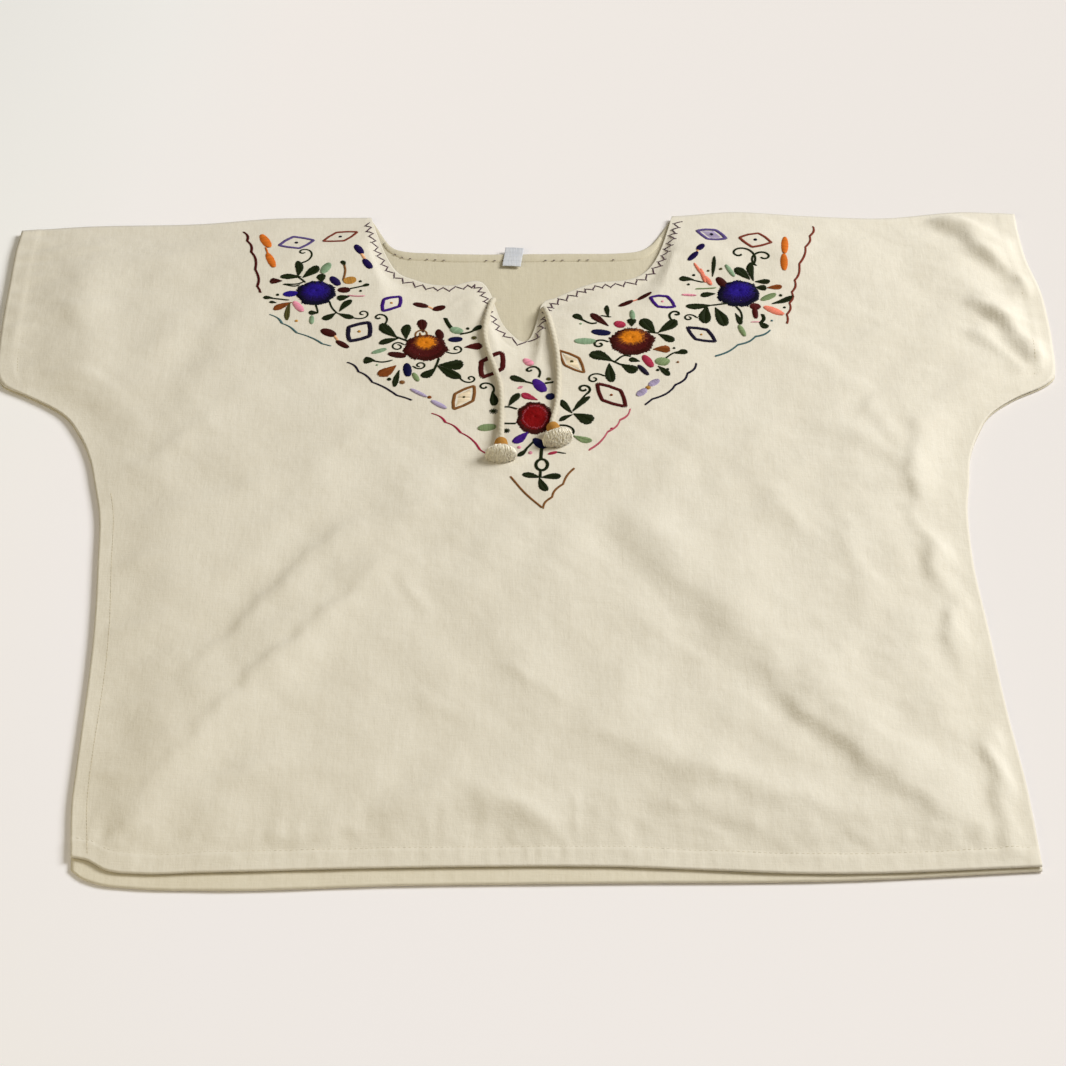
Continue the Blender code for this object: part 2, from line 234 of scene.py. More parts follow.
def fold_height(x, y, fold):
    """One fold's height at each point: an arc with its own slope on either side, fading at its ends."""
    name, start, middle, end, height, left, right = fold
    t = np.linspace(0, 1, 25)[:, None]
    a, b, c = (np.array(p, float) for p in (start, middle, end))
    bend = 2 * b - (a + c) / 2
    line = (1 - t) ** 2 * a + 2 * t * (1 - t) * bend + t**2 * c
    step = np.gradient(line, axis=0)
    long = np.linalg.norm(step, axis=1)
    along = step / long[:, None]
    apart = np.stack([x, y], -1)[..., None, :] - line
    nearest = (apart**2).sum(-1).argmin(-1)
    gap = np.take_along_axis(apart, nearest[..., None, None], -2)[..., 0, :]
    side = along[nearest, 0] * gap[..., 1] - along[nearest, 1] * gap[..., 0]
    ahead = along[nearest, 0] * gap[..., 0] + along[nearest, 1] * gap[..., 1]
    place = nearest + np.clip(ahead / long[nearest], -0.5, 0.5)
    past = np.where((nearest == 0) | (nearest == 24), ahead, 0)
    width = np.where(side > 0, left, right)
    fade = np.sin(pi * np.clip(0.02 + 0.96 * place / 24, 0, 1)) ** 0.7
    return height * fade * np.exp(-(side**2 + past**2) / width**2)


def edge_distance(x, y, hem, neck):
    """About how far each point is from the panel's nearest edge."""
    low, drop = curve_through(hem), curve_through(neck)
    sides = np.minimum(x - left_edge(y), right_edge(y) - x)
    out = [row[0] for row in UNDERARM]
    rise = [row[1] for row in UNDERARM]
    under = np.where(np.abs(x) > out[0], y - np.interp(np.abs(x), out, rise), FAR_AWAY)
    ends = np.minimum(y - low(x), top_edge(x) - drop(x) - y)
    return np.clip(np.minimum(np.minimum(sides, ends), np.maximum(under, sides)), 0, None)


print("folds", len(FOLDS))


# %% [markdown]
# Thin gauzy cotton is never smooth. Short drag lines run from the neck corners and underarms, small
# tucks stand above the hem where the stitches hold it, and a low crinkle covers everything. Creases
# that a look can pick out are listed in a table; the crinkle is a sum of faint waves.

# %% Fine creases
CREASES = (
    # name, start, middle, end, height, width on its left, width on its right
    ("left_notch_1", (-36, 252), (-52, 244), (-70, 240), 0.9, 4, 5),
    ("left_notch_2", (-34, 246), (-48, 234), (-62, 222), 0.8, 4, 4),
    ("left_notch_3", (-30, 236), (-40, 222), (-50, 204), 0.7, 4, 5),
    ("left_notch_4", (-44, 256), (-60, 250), (-80, 252), -0.6, 4, 4),
    ("right_notch_1", (24, 238), (40, 230), (58, 228), 0.8, 4, 5),
    ("right_notch_2", (20, 226), (30, 212), (42, 196), 0.7, 5, 4),
    ("below_notch", (-2, 182), (0, 160), (4, 134), 1.0, 6, 6),
    ("neck_right_rim", (56, 246), (84, 240), (108, 262), 0.8, 7, 6),
    ("neck_left_rim", (-62, 240), (-92, 242), (-116, 276), 0.7, 7, 6),
    ("right_yoke", (130, 318), (150, 280), (196, 250), 1.1, 10, 9),
    ("left_yoke", (-140, 312), (-170, 290), (-206, 262), 1.0, 10, 9),
    ("right_shoulder_fold", (312, 336), (347, 306), (379, 240), 8.5, 14, 9),
    ("right_cuff_fold", (334, 232), (361, 203), (383, 158), 7.6, 12, 8),
    ("right_cuff_fold_low", (333, 199), (349, 178), (365, 150), 2.6, 8, 6),
    ("right_side_1", (286, 100), (277, 40), (277, -16), 3.2, 12, 6),
    ("right_side_2", (274, -10), (283, -50), (288, -88), 3.4, 12, 6),
    ("right_side_3", (295, -84), (289, -121), (293, -164), 2.9, 10, 6),
    ("right_armpit", (249, 122), (260, 89), (274, 57), 1.8, 8, 6),
    ("right_corner_fold", (302, -201), (305, -258), (307, -320), 4.2, 9, 6),
    ("right_long_upper", (62, 1), (114, -63), (162, -144), 2.8, 30, 18),
    ("right_long_lower", (152, -143), (207, -223), (277, -286), 4.6, 26, 8),
    ("lower_right_line", (35, -201), (114, -251), (212, -284), 2.2, 16, 8),
    ("left_long_line", (-81, -40), (-158, -141), (-257, -291), 2.9, 20, 7),
    ("left_second_line", (-103, 4), (-170, -84), (-258, -219), 2.0, 15, 6),
    ("left_low_line", (-252, -300), (-193, -258), (-111, -248), 1.3, 9, 6),
    ("left_sleeve_line", (-217, 227), (-242, 124), (-268, 32), 1.9, 22, 13),
    ("left_cuff_line", (-332, 285), (-331, 220), (-316, 155), 1.5, 16, 12),
    ("left_cuff_low", (-357, 150), (-330, 150), (-302, 128), 1.4, 8, 8),
    ("middle_line", (-18, -154), (6, -171), (39, -198), 1.2, 8, 5),
    ("middle_left_line", (-82, -61), (-75, -88), (-65, -108), 1.0, 7, 5),
    ("middle_low_line", (-87, -185), (-55, -191), (-16, -223), 0.9, 8, 6),
    ("right_hollow_1", (157, 199), (204, 173), (250, 121), 1.2, 9, 12),
    ("right_hollow_2", (250, 123), (252, 107), (253, 92), 1.4, 4, 6),
    ("right_hollow_3", (152, 42), (177, 15), (193, -31), 1.2, 8, 9),
    ("right_hollow_4", (214, 11), (230, -51), (234, -129), 1.4, 9, 11),
    ("tent_lower", (-35, -271), (-12, -284), (23, -305), 1.2, 8, 7),
    ("tent_left", (-150, -303), (-92, -285), (-46, -261), 1.2, 7, 6),
    ("tent_right", (-46, -261), (-10, -278), (28, -297), 1.0, 6, 7),
    ("hem_line_left", (-180, -306), (-142, -305), (-96, -300), 1.2, 7, 6),
    ("hem_line_right", (61, -274), (125, -284), (168, -310), 1.2, 8, 6),
    ("right_underarm_1", (302, 38), (260, 60), (214, 96), 1.2, 7, 9),
    ("right_underarm_2", (304, 22), (262, 30), (210, 40), 1.0, 7, 8),
    ("left_underarm_1", (-296, 34), (-260, 62), (-222, 110), 1.2, 9, 10),
    ("left_side_1", (-284, -60), (-262, -50), (-226, -30), 1.0, 7, 8),
    ("left_side_2", (-283, -120), (-264, -116), (-240, -104), 0.9, 6, 7),
    ("left_side_3", (-284, -196), (-262, -192), (-232, -178), 1.0, 7, 7),
    ("left_side_4", (-283, -250), (-266, -252), (-244, -246), 0.9, 6, 6),
    ("chest_left", (-100, 120), (-140, 60), (-200, 20), 0.9, 10, 12),
    ("chest_right", (80, 110), (130, 60), (150, -20), 0.9, 11, 10),
    ("right_body_2", (150, 130), (210, 90), (262, 84), 0.9, 10, 12),
    ("left_sleeve_1", (-384, 210), (-350, 216), (-306, 236), 1.0, 8, 9),
    ("left_sleeve_3", (-380, 296), (-340, 300), (-300, 310), 0.8, 8, 7),
    ("notch_roll", (4, 184), (14, 204), (21, 226), 1.8, 4, 5),
    ("beside_left_cord", (-34, 226), (-36, 190), (-30, 156), -1.0, 6, 5),
    ("beside_right_cord", (18, 214), (17, 180), (19, 150), -1.2, 5, 5),
    ("right_sleeve_3", (376, 276), (340, 296), (296, 300), 1.2, 8, 9),
)
HEM_LINE = 16.0
CUFF_LINE = 15.0
EMBROIDERED = ((0, 215), (230, 150))


def add_folds(x, y, table):
    """The summed height of a table's folds, each worked out only near it."""
    total = np.zeros_like(x)
    for fold in table:
        spots = np.array(fold[1:4], float)
        reach = 3 * max(fold[5], fold[6])
        low, high = spots.min(0) - reach, spots.max(0) + reach
        near = (x > low[0]) & (x < high[0]) & (y > low[1]) & (y < high[1])
        if near.any():
            total[near] += fold_height(x[near], y[near], fold)
    return total


def tuck_rows(count):
    """Small tucks above the hem stitches, unevenly spaced, some short and some long."""
    rows = []
    x = -280.0
    while x < 318 and len(rows) < count:
        long = 10 + 34 * rng.random() ** 2
        lean = rng.uniform(-6, 6)
        foot = -311 + rng.uniform(-2, 2)
        height = rng.uniform(0.25, 0.75) * rng.choice((1, 1, -1))
        wide = rng.uniform(3, 5.5)
        rows.append(("tuck", (x, foot), (x + lean / 2, foot + long / 2), (x + lean, foot + long), height, wide, wide))
        x += rng.uniform(5, 17)
    return tuple(rows)


def cuff_tucks(edge, inward):
    """Tucks that run in from a cuff, across its turned band."""
    rows = []
    y = 156.0
    while y < 318:
        start = float(edge(y)) + inward * 3
        long = inward * rng.uniform(14, 36)
        lean = rng.uniform(-5, 5)
        wide = rng.uniform(3, 5)
        height = rng.uniform(0.3, 0.8) * rng.choice((1, 1, -1))
        rows.append(("tuck", (start, y), (start + long / 2, y + lean / 2), (start + long, y + lean), height, wide, wide))
        y += rng.uniform(6, 14)
    return tuple(rows)


TUCKS = tuck_rows(70) + cuff_tucks(left_edge, 1) + cuff_tucks(right_edge, -1)


def faint_waves(count, shortest, longest):
    """Directions, wavelengths and starts of many faint waves."""
    return [(rng.uniform(0, 2 * pi), rng.uniform(shortest, longest), rng.uniform(0, 2 * pi)) for _ in range(count)]


CRINKLES = faint_waves(48, 9, 26)
SWELLS = faint_waves(28, 32, 90)


def wave_sum(x, y, waves):
    total = np.zeros_like(x)
    for turn, long, start in waves:
        total += np.sin((x * cos(turn) + y * sin(turn)) * 2 * pi / long + start)
    return total


def crinkle(x, y):
    """A low uneven crinkle over soft swells, stronger on the right of the body."""
    patch = 0.75 + 0.25 * np.sin(x / 61 + y / 83) * np.sin(y / 47 - 1.1)
    low = wave_sum(x, y, CRINKLES) * 0.028 * patch * (1 + 0.45 * np.clip(x / 200, -0.6, 1))
    return low + wave_sum(x, y, SWELLS) * 0.11


def wandering_creases(x, y):
    """The table's creases, led off their arcs by a few millimetres and uneven in height."""
    led_x = x + 2.2 * np.sin(y / 8.5 + x / 31) + 1.6 * np.sin((x + y) / 6.1 + 2)
    led_y = y + 2.2 * np.sin(x / 9.3 - y / 27) + 1.4 * np.sin((x - y) / 6.7 + 1)
    uneven = 1 + 0.30 * np.sin(x / 13 + 1) * np.sin(y / 11 + 2)
    return add_folds(led_x, led_y, CREASES) * uneven


def stitched_line(inside, at, wide=1.3, deep=0.45):
    """A shallow groove where a row of stitches pulls the cloth down."""
    return -deep * np.exp(-(((inside - at) / wide) ** 2))


def neck_inside(x, y):
    """Distance in from the front neck edge, about."""
    edge = NECK_EDGE
    near = (np.abs(x) < 150) & (y > 150)
    out = np.full(x.shape, 99.0)
    if near.any():
        spots = np.stack([x[near], y[near]], -1)
        out[near] = np.sqrt(((spots[:, None, :] - edge) ** 2).sum(-1)).min(1)
    return out


def neck_line(count=160):
    """Points along the front neck edge from left to right, evenly spaced."""
    x = np.linspace(-119.5, 113.5, 1400)
    y = top_edge(x) - curve_through(FRONT_NECK)(x)
    along = np.append(0, np.cumsum(np.hypot(np.diff(x), np.diff(y))))
    at = np.linspace(0, along[-1], count)
    return np.stack([np.interp(at, along, x), np.interp(at, along, y)], -1)


NECK_EDGE = neck_line()


def hem_inside(x, y):
    return y - curve_through(FRONT_HEM)(x)


def cuff_inside(x, y):
    side = np.minimum(x - left_edge(y), right_edge(y) - x)
    return np.where(y > 142, side, 99.0)


def embroidered_share(x, y):
    """1 in the middle of the stitched yoke, fading to 0 outside it."""
    (cx, cy), (wide, tall) = EMBROIDERED
    return np.exp(-(((x - cx) / wide) ** 4) - ((y - cy) / tall) ** 4)


def cloth_top(x, y):
    """Height of the front's outer face: the solid's form, the hems, the creases and the crinkle."""
    x, y = np.asarray(x, float), np.asarray(y, float)
    hem, cuff = hem_inside(x, y), cuff_inside(x, y)
    turned = 1 / (1 + np.exp(np.clip((np.minimum(hem, cuff + 1) - HEM_LINE) / 0.8, -40, 40)))
    edge = np.clip(np.minimum(edge_distance(x, y, FRONT_HEM, FRONT_NECK), 30) / 10, 0, 1)
    calm = 1 - 0.35 * embroidered_share(x, y)
    fine = (wandering_creases(x, y) + crinkle(x, y)) * edge * calm
    tuck = add_folds(x, y, TUCKS) * np.clip(hem / 4, 0, 1)
    tuck = tuck + 0.24 * np.sin(x / 1.9 + 3 * np.sin(x / 23)) * np.sin(x / 7.3 + 1) * np.exp(-(((hem - 10) / 8) ** 2))
    lines = stitched_line(hem, HEM_LINE) + stitched_line(cuff, CUFF_LINE) + stitched_line(neck_inside(x, y), 10, 1.6, 0.3)
    return front_form(x, y, 0.45, fine) + 0.55 * turned + tuck + lines * np.clip(edge * 2, 0, 1)


def front_form(x, y, share=1.0, fine=0.0):
    """The solid's outer face, with a share of its broad folds and with finer ones that stay off the back."""
    inside = np.clip(edge_distance(x, y, FRONT_HEM, FRONT_NECK) / PUFF_REACH, 0, 1)
    rise = inside * inside * (3 - 2 * inside)
    held = np.clip(0.35 + 0.65 * rise, 0, 1)
    lift = PUFF_HEIGHT * rise + add_folds(x, y, FOLDS) * held * share + fine
    return HEM_WALL + SEAM_GAP + np.log1p(np.exp(lift * FLOOR_SHARPNESS)) / FLOOR_SHARPNESS - FLOOR_DROP + WALL


print("creases", len(CREASES), "tucks", len(TUCKS))

# %% [markdown]
# The cloth is a slubby plain weave. Two long noises, one along each thread direction, give uneven
# thread thickness in colour and in height, and a rounder noise gives the mottled crinkle that gauze
# keeps after washing. Sheen stands for the short fibres that catch light at a low angle.

# %% Materials
def node(tree, kind, **values):
    made = tree.nodes.new(kind)
    for key, value in values.items():
        if key in made.inputs.keys():
            made.inputs[key].default_value = value
        else:
            setattr(made, key, value)
    return made


def plain(name, colour, rough=0.85, sheen=0.0):
    material = bpy.data.materials.new(name)
    material.use_nodes = True
    shader = material.node_tree.nodes["Principled BSDF"]
    shader.inputs["Base Color"].default_value = (*colour, 1)
    shader.inputs["Roughness"].default_value = rough
    shader.inputs["Specular IOR Level"].default_value = 0.25
    shader.inputs["Sheen Weight"].default_value = sheen
    shader.inputs["Sheen Roughness"].default_value = 0.45
    return material, material.node_tree, shader


def stretched(tree, where, scale, stretch, detail=3.0):
    """A noise drawn out along one axis, in metres on the garment."""
    mapping = node(tree, "ShaderNodeMapping")
    mapping.inputs["Scale"].default_value = stretch
    tree.links.new(where.outputs["Object"], mapping.inputs["Vector"])
    noise = node(tree, "ShaderNodeTexNoise", Scale=scale, Detail=detail, Roughness=0.6)
    tree.links.new(mapping.outputs["Vector"], noise.inputs["Vector"])
    return noise.outputs["Fac"]


def math_node(tree, operation, a, b):
    made = node(tree, "ShaderNodeMath", operation=operation)
    for i, value in enumerate((a, b)):
        if isinstance(value, (int, float)):
            made.inputs[i].default_value = value
        else:
            tree.links.new(value, made.inputs[i])
    return made.outputs[0]


def cotton(name, light, dark, weave=0.30, mottle=0.26, inner=None):
    """Cream slubby cotton between two colours, with thread and crinkle bumps."""
    material, tree, shader = plain(name, light, 0.9, 0.22)
    where = node(tree, "ShaderNodeTexCoord")
    across = stretched(tree, where, 900, (0.10, 1.0, 1.0))
    along = stretched(tree, where, 900, (1.0, 0.10, 1.0))
    crush = stretched(tree, where, 150, (1.0, 0.8, 1.0), 4.0)
    slub = stretched(tree, where, 260, (1.0, 0.05, 1.0), 2.0)
    cloud = stretched(tree, where, 14, (1.0, 1.0, 1.0), 2.0)
    threads = math_node(tree, "ADD", across, along)
    broad_tone = math_node(tree, "ADD", math_node(tree, "MULTIPLY", cloud, 0.30), math_node(tree, "MULTIPLY", slub, 0.22))
    mixed = math_node(tree, "ADD", math_node(tree, "MULTIPLY", threads, 0.24), broad_tone)
    ramp = node(tree, "ShaderNodeValToRGB")
    ramp.color_ramp.elements[0].position = 0.34
    ramp.color_ramp.elements[0].color = (*dark, 1)
    ramp.color_ramp.elements[1].position = 0.66
    ramp.color_ramp.elements[1].color = (*light, 1)
    tree.links.new(mixed, ramp.inputs["Fac"])
    colour = ramp.outputs["Color"]
    # Given inner, the colour is multiplied by it from 100 mm below the middle upward, fading out by 300 mm below it:
    # painted shade that darkens all but the hem strip.
    if inner:
        parts = node(tree, "ShaderNodeSeparateXYZ")
        tree.links.new(where.outputs["Object"], parts.inputs[0])
        share = node(tree, "ShaderNodeMapRange")
        share.inputs["From Min"].default_value, share.inputs["From Max"].default_value = -0.30, -0.10
        tree.links.new(parts.outputs["Y"], share.inputs["Value"])
        blend = node(tree, "ShaderNodeMix", data_type="RGBA", blend_type="MULTIPLY")
        blend.inputs[7].default_value = (*inner, 1)
        tree.links.new(share.outputs["Result"], blend.inputs[0])
        tree.links.new(colour, blend.inputs[6])
        colour = blend.outputs[2]
    tree.links.new(colour, shader.inputs["Base Color"])
    fine = node(tree, "ShaderNodeBump", Strength=weave, Distance=0.0004)
    tree.links.new(threads, fine.inputs["Height"])
    broad = node(tree, "ShaderNodeBump", Strength=mottle, Distance=0.0016)
    tree.links.new(crush, broad.inputs["Height"])
    tree.links.new(fine.outputs["Normal"], broad.inputs["Normal"])
    tree.links.new(broad.outputs["Normal"], shader.inputs["Normal"])
    return material


front_cotton = cotton("front_cotton", (0.790, 0.747, 0.645), (0.705, 0.655, 0.545))
# The back is the same cloth as the front. Its darker, warmer colours and its inner tint, which darkens all but the hem
# strip, are painted shade for where it lies under the front and inside the neck.
back_cotton = cotton("back_cotton", (0.765, 0.712, 0.585), (0.68, 0.622, 0.487), inner=(0.86, 0.85, 0.80))
cord_cotton = cotton("cord_cotton", (0.69, 0.64, 0.515), (0.60, 0.545, 0.425), 0.5, 0.2)
label_tape = cotton("label_tape", (0.74, 0.75, 0.77), (0.50, 0.53, 0.60), 0.7, 0.1)


def coloured_thread(name, rough):
    """Stranded cotton thread: its colour is stored on the points, and it shines a little along the strand."""
    material, tree, shader = plain(name, (0.5, 0.5, 0.5), rough)
    colour = node(tree, "ShaderNodeVertexColor", layer_name="thread")
    tree.links.new(colour.outputs["Color"], shader.inputs["Base Color"])
    shader.inputs["Specular IOR Level"].default_value = 0.06
    return material


silk_thread = coloured_thread("embroidery_thread", 0.55)
yarn = coloured_thread("tassel_yarn", 0.8)
print("materials", len(bpy.data.materials))

# %% [markdown]
# The front is one thin shell on the solid's form. It starts as a grid whose rows bend round the neck,
# so its edge is the cut edge of the cloth, and a Solidify gives it the wall. More rows sit at the hem
# and more columns at the notch, where the shape turns quickly.

# %% Front and back cloth
def ride_piece(obj, slot, *nodes):
    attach(obj, "root")
    if nodes:
        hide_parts(*nodes)
    return obj


def smooth(obj):
    obj.data.polygons.foreach_set("use_smooth", [True] * len(obj.data.polygons))
    obj.data.update()
    return obj


def cloth_piece(name, x, y, z, wall, material):
    """A grid of cloth laid on the points, its top face there, and its wall below it."""
    rows, columns = x.shape
    bm = bmesh.new()
    bmesh.ops.create_grid(bm, x_segments=columns - 1, y_segments=rows - 1, size=1)
    mesh = bpy.data.meshes.new(name)
    bm.to_mesh(mesh)
    bm.free()
    mesh.vertices.foreach_set("co", (np.stack([x, y, z], -1) * MM).astype(np.float32).ravel())
    mesh.update()
    obj = bpy.data.objects.new(name, mesh)
    bpy.context.scene.collection.objects.link(obj)
    shell = obj.modifiers.new("wall", "SOLIDIFY")
    shell.thickness = wall * MM
    shell.offset = -1
    mesh.materials.append(material)
    smooth(obj)
    print(name, "cells", (rows - 1) * (columns - 1), "top normal", round(mesh.polygons[0].normal.z, 2))
    return obj


FRONT_STOPS = tuple(width_share(x) for x in (-390, -374, -120, -30, -2, 16, 114, 365, 381))
FRONT_CELLS = (8, 66, 34, 14, 12, 34, 66, 8)
FRONT_ROWS = ((0, 0.026, 0.06, 0.56, 0.76, 1), (10, 10, 80, 38, 58))
UNDERARM_ROW, UNDERARM_REACH, EVENING_TURNS = 126, 12, 14


def evened(x, y):
    """Points near the underarm rows moved toward the middle of their neighbours, so no cell folds over."""
    share = np.exp(-(((np.arange(x.shape[0]) - UNDERARM_ROW) / UNDERARM_REACH) ** 2))[1:-1, None]
    for _ in range(EVENING_TURNS):
        for part in (x, y):
            even = (part[:-2, 1:-1] + part[2:, 1:-1] + part[1:-1, :-2] + part[1:-1, 2:]) / 4
            part[1:-1, 1:-1] += share * (even - part[1:-1, 1:-1])
    return x, y


x, y = evened(*panel_points(shares(FRONT_STOPS, FRONT_CELLS), shares(*FRONT_ROWS), FRONT_HEM, FRONT_NECK))
front = cloth_piece("front_cloth", x, y, cloth_top(x, y), WALL, front_cotton)
ride_piece(front, "front_cotton", "front_panel")


def back_top(x, y):
    """The back lies flat, with its turned hem a little thicker and its rim faintly waved."""
    inside = y - curve_through(BACK_HEM)(x)
    turned = 1 / (1 + np.exp(np.clip((inside - HEM_LINE) / 0.8, -40, 40)))
    waved = 0.12 * np.sin(x / 9.0) * np.sin(x / 23.0 + 1) * np.exp(-inside / 14)
    return WALL + 0.55 * turned + waved + 0.10 * np.sin(x / 17 + y / 29) ** 2


x, y = panel_points(np.linspace(0, 1, 201), shares((0, 0.026, 0.56, 0.76, 1), (8, 50, 34, 40)), BACK_HEM, BACK_NECK)
back = cloth_piece("back_cloth", x, y, back_top(x, y), 1.15, back_cotton)
ride_piece(back, "back_cotton", "back_panel")

# %% [markdown]
# Inside the back neck the cloth is turned under to make a narrow facing, and a small blank tape is
# sewn over it. The facing is cut from the back's own neck edge, so it follows it exactly; the tape sits at a given
# place on it.

# %% Back neck facing and label
FACING_WIDTH = 9.5
FACING_END_WIDTH = 3.2
FACING_TAPER = 16.0
FACING_ENDS = (-107.0, 102.5)
FACING_INSET = 0.8
FACING_WALL = 1.0
LABEL_SIZE = (14.0, 22.0)
LABEL_CENTRE = (-9.5, 289.6)
LABEL_LEAN = -0.07


def inner_line(points, distance):
    """Points moved into the cloth from an edge that runs left to right."""
    heading = np.gradient(points, axis=0)
    heading /= np.linalg.norm(heading, axis=1)[:, None]
    return points + np.stack([heading[:, 1], -heading[:, 0]], -1) * np.reshape(distance, (-1, 1))


at = np.linspace(*FACING_ENDS, 190)
back_edge = np.stack([at, top_edge(at) - curve_through(BACK_NECK)(at)], -1)
middle = np.clip(np.minimum(at - FACING_ENDS[0], FACING_ENDS[1] - at) / FACING_TAPER, 0, 1)
facing_wide = FACING_END_WIDTH + (FACING_WIDTH - FACING_END_WIDTH) * middle
shares_across = np.linspace(1, 0, 9)
strip = np.stack([inner_line(back_edge, FACING_INSET + share * facing_wide) for share in shares_across])
px, py = strip[..., 0], strip[..., 1]
round_edge = 0.5 * (np.abs(shares_across[:, None] - 0.5) * 2) ** 6
pucker = 0.12 * np.sin(px / 5 + 2 * np.sin(px / 19)) * (1 - shares_across[:, None])
pz = WALL + SEAM_GAP + FACING_WALL - round_edge + pucker - 1.15 * shares_across[:, None] ** 3
facing = cloth_piece("neck_facing", px, py, pz, 0.25, back_cotton)
ride_piece(facing, "back_cotton", "back_neck_facing")
wide, tall = LABEL_SIZE
px, py = np.meshgrid(np.linspace(-wide / 2, wide / 2, 29), np.linspace(-tall / 2, tall / 2, 45))
pz = WALL + FACING_WALL + 2 * SEAM_GAP + 0.85 + 0.8 * np.clip(py / tall + 0.1, 0, 1) ** 2
pz = pz + 0.25 * np.cos(px / wide * 2.4) + 0.08 * np.sin(py * 1.3)
lx = px - LABEL_LEAN * py + LABEL_CENTRE[0] + 0.35 * np.sin(py / 7)
ly = py + LABEL_LEAN * px + LABEL_CENTRE[1]
label = cloth_piece("label_tab", lx, ly, pz, 0.5, label_tape)
ride_piece(label, "label_tape", "neck_label")

# %% [markdown]
# Every stitch is a real strand: a low arch that leaves the cloth at one end and goes back in at the
# other. A table of stitches (two ends, width, height, colour) becomes one joined mesh, so thousands
# of strands cost a single object, and each keeps its own slight shade.

# %% Stitch maker
THREADS = {
    # name: linear colour
    "leaf_green": (0.0130, 0.0200, 0.0048),
    "mint": (0.250, 0.370, 0.235),
    "sage": (0.2150, 0.2900, 0.1400),
    "olive": (0.0750, 0.0660, 0.0180),
    "night": (0.0050, 0.0040, 0.0180),
    "navy": (0.0060, 0.0060, 0.0450),
    "slate": (0.0140, 0.0100, 0.0280),
    "blue": (0.0200, 0.0080, 0.2150),
    "indigo": (0.0150, 0.0070, 0.1150),
    "purple": (0.0500, 0.0100, 0.1900),
    "violet": (0.115, 0.080, 0.240),
    "plum": (0.0120, 0.0050, 0.0620),
    "lilac": (0.4000, 0.3400, 0.5000),
    "maroon": (0.0460, 0.0060, 0.0040),
    "wine": (0.0750, 0.0080, 0.0070),
    "red": (0.2150, 0.0030, 0.0040),
    "crimson": (0.380, 0.030, 0.070),
    "rose": (0.500, 0.110, 0.150),
    "pink": (0.760, 0.300, 0.400),
    "coral": (0.760, 0.230, 0.150),
    "orange": (0.640, 0.165, 0.020),
    "amber": (0.680, 0.215, 0.010),
    "ochre": (0.500, 0.250, 0.050),
    "rust": (0.2200, 0.0600, 0.0120),
    "brick": (0.2200, 0.0450, 0.0260),
    "bark": (0.2300, 0.1000, 0.0300),
    "teal": (0.070, 0.150, 0.165),
    "peach": (0.800, 0.450, 0.240),
    "cream": (0.800, 0.680, 0.500),
    "sewing": (0.560, 0.500, 0.370),
    "zigzag": (0.0850, 0.0450, 0.0650),
}
STATIONS = np.array((0.0, 0.12, 0.5, 0.88, 1.0))
ARCH = np.array((-0.35, 0.72, 1.0, 0.72, -0.35))


def stitch_row(a, b, colour, width=0.62, height=0.5):
    """Stitches from the points a to the points b, as one array: ends, width, height, colour."""
    a, b = np.atleast_2d(np.asarray(a, float)), np.atleast_2d(np.asarray(b, float))
    n = len(a)
    tone = np.array(THREADS[colour]) * (1 + rng.normal(0, 0.10, (n, 1)))
    sizes = np.stack([np.full(n, width) * rng.uniform(0.92, 1.08, n), np.full(n, height)], -1)
    return np.concatenate([a, b, sizes, np.clip(tone, 0.002, 0.95)], 1)


def strand_mesh(name, stitches, height_of=cloth_top, material=None):
    """One mesh of low arched strands lying on a surface."""
    a, b = stitches[:, 0:2], stitches[:, 2:4]
    width, height, colour = stitches[:, 4], stitches[:, 5], stitches[:, 6:9]
    count, steps = len(stitches), len(STATIONS)
    t = STATIONS[None, :, None]
    middle = a[:, None] * (1 - t) + b[:, None] * t
    ground = height_of(middle[..., 0].ravel(), middle[..., 1].ravel()).reshape(count, steps)
    run = b - a
    across = np.stack([-run[:, 1], run[:, 0]], -1) / np.maximum(np.linalg.norm(run, axis=1), 1e-6)[:, None]
    rise = height[:, None] * ARCH[None, :]
    points = np.zeros((count, steps, 3, 3))
    for k, side in enumerate((-0.5, 0.0, 0.5)):
        points[:, :, k, :2] = middle + across[:, None] * (side * width)[:, None, None]
        points[:, :, k, 2] = ground + 0.1 + (rise if side == 0 else rise - 0.42 * width[:, None])
    first = np.arange(count)[:, None, None] * steps * 3
    cell = (np.arange(steps - 1)[:, None] * 3 + np.arange(2)[None, :])[None]
    corner = first + cell
    faces = np.stack([corner, corner + 3, corner + 4, corner + 1], -1).reshape(-1, 4)
    mesh = bpy.data.meshes.new(name)
    mesh.vertices.add(count * steps * 3)
    mesh.vertices.foreach_set("co", (points * MM).astype(np.float32).ravel())
    mesh.loops.add(faces.size)
    mesh.loops.foreach_set("vertex_index", faces.ravel().astype(np.int32))
    mesh.polygons.add(len(faces))
    mesh.polygons.foreach_set("loop_start", np.arange(0, faces.size, 4, dtype=np.int32))
    mesh.update(calc_edges=True)
    mesh.validate()
    shade = np.repeat(colour, steps * 3, axis=0)
    layer = mesh.color_attributes.new("thread", "FLOAT_COLOR", "POINT")
    layer.data.foreach_set("color", np.concatenate([shade, np.ones((len(shade), 1))], 1).astype(np.float32).ravel())
    if mesh.polygons[0].normal.z < 0:
        mesh.flip_normals()
    obj = bpy.data.objects.new(name, mesh)
    bpy.context.scene.collection.objects.link(obj)
    mesh.materials.append(material or silk_thread)
    smooth(obj)
    print(name, count, "stitches", 2 * len(faces), "triangles")
    return obj


# %% [markdown]
# A handful of shapes make the whole garland: satin ovals, fishbone leaves, stem-stitched lines,
# satin-edged diamonds, small knots, and round flowers shaded with long and short stitches. Each is a
# function from a few sizes to rows of stitches.

# %% Motif shapes
PITCH = 0.52


def unit(a, b):
    run = np.subtract(b, a).astype(float)
    long = float(np.hypot(*run))
    run = run / max(long, 1e-6)
    return run, np.array((-run[1], run[0])), long


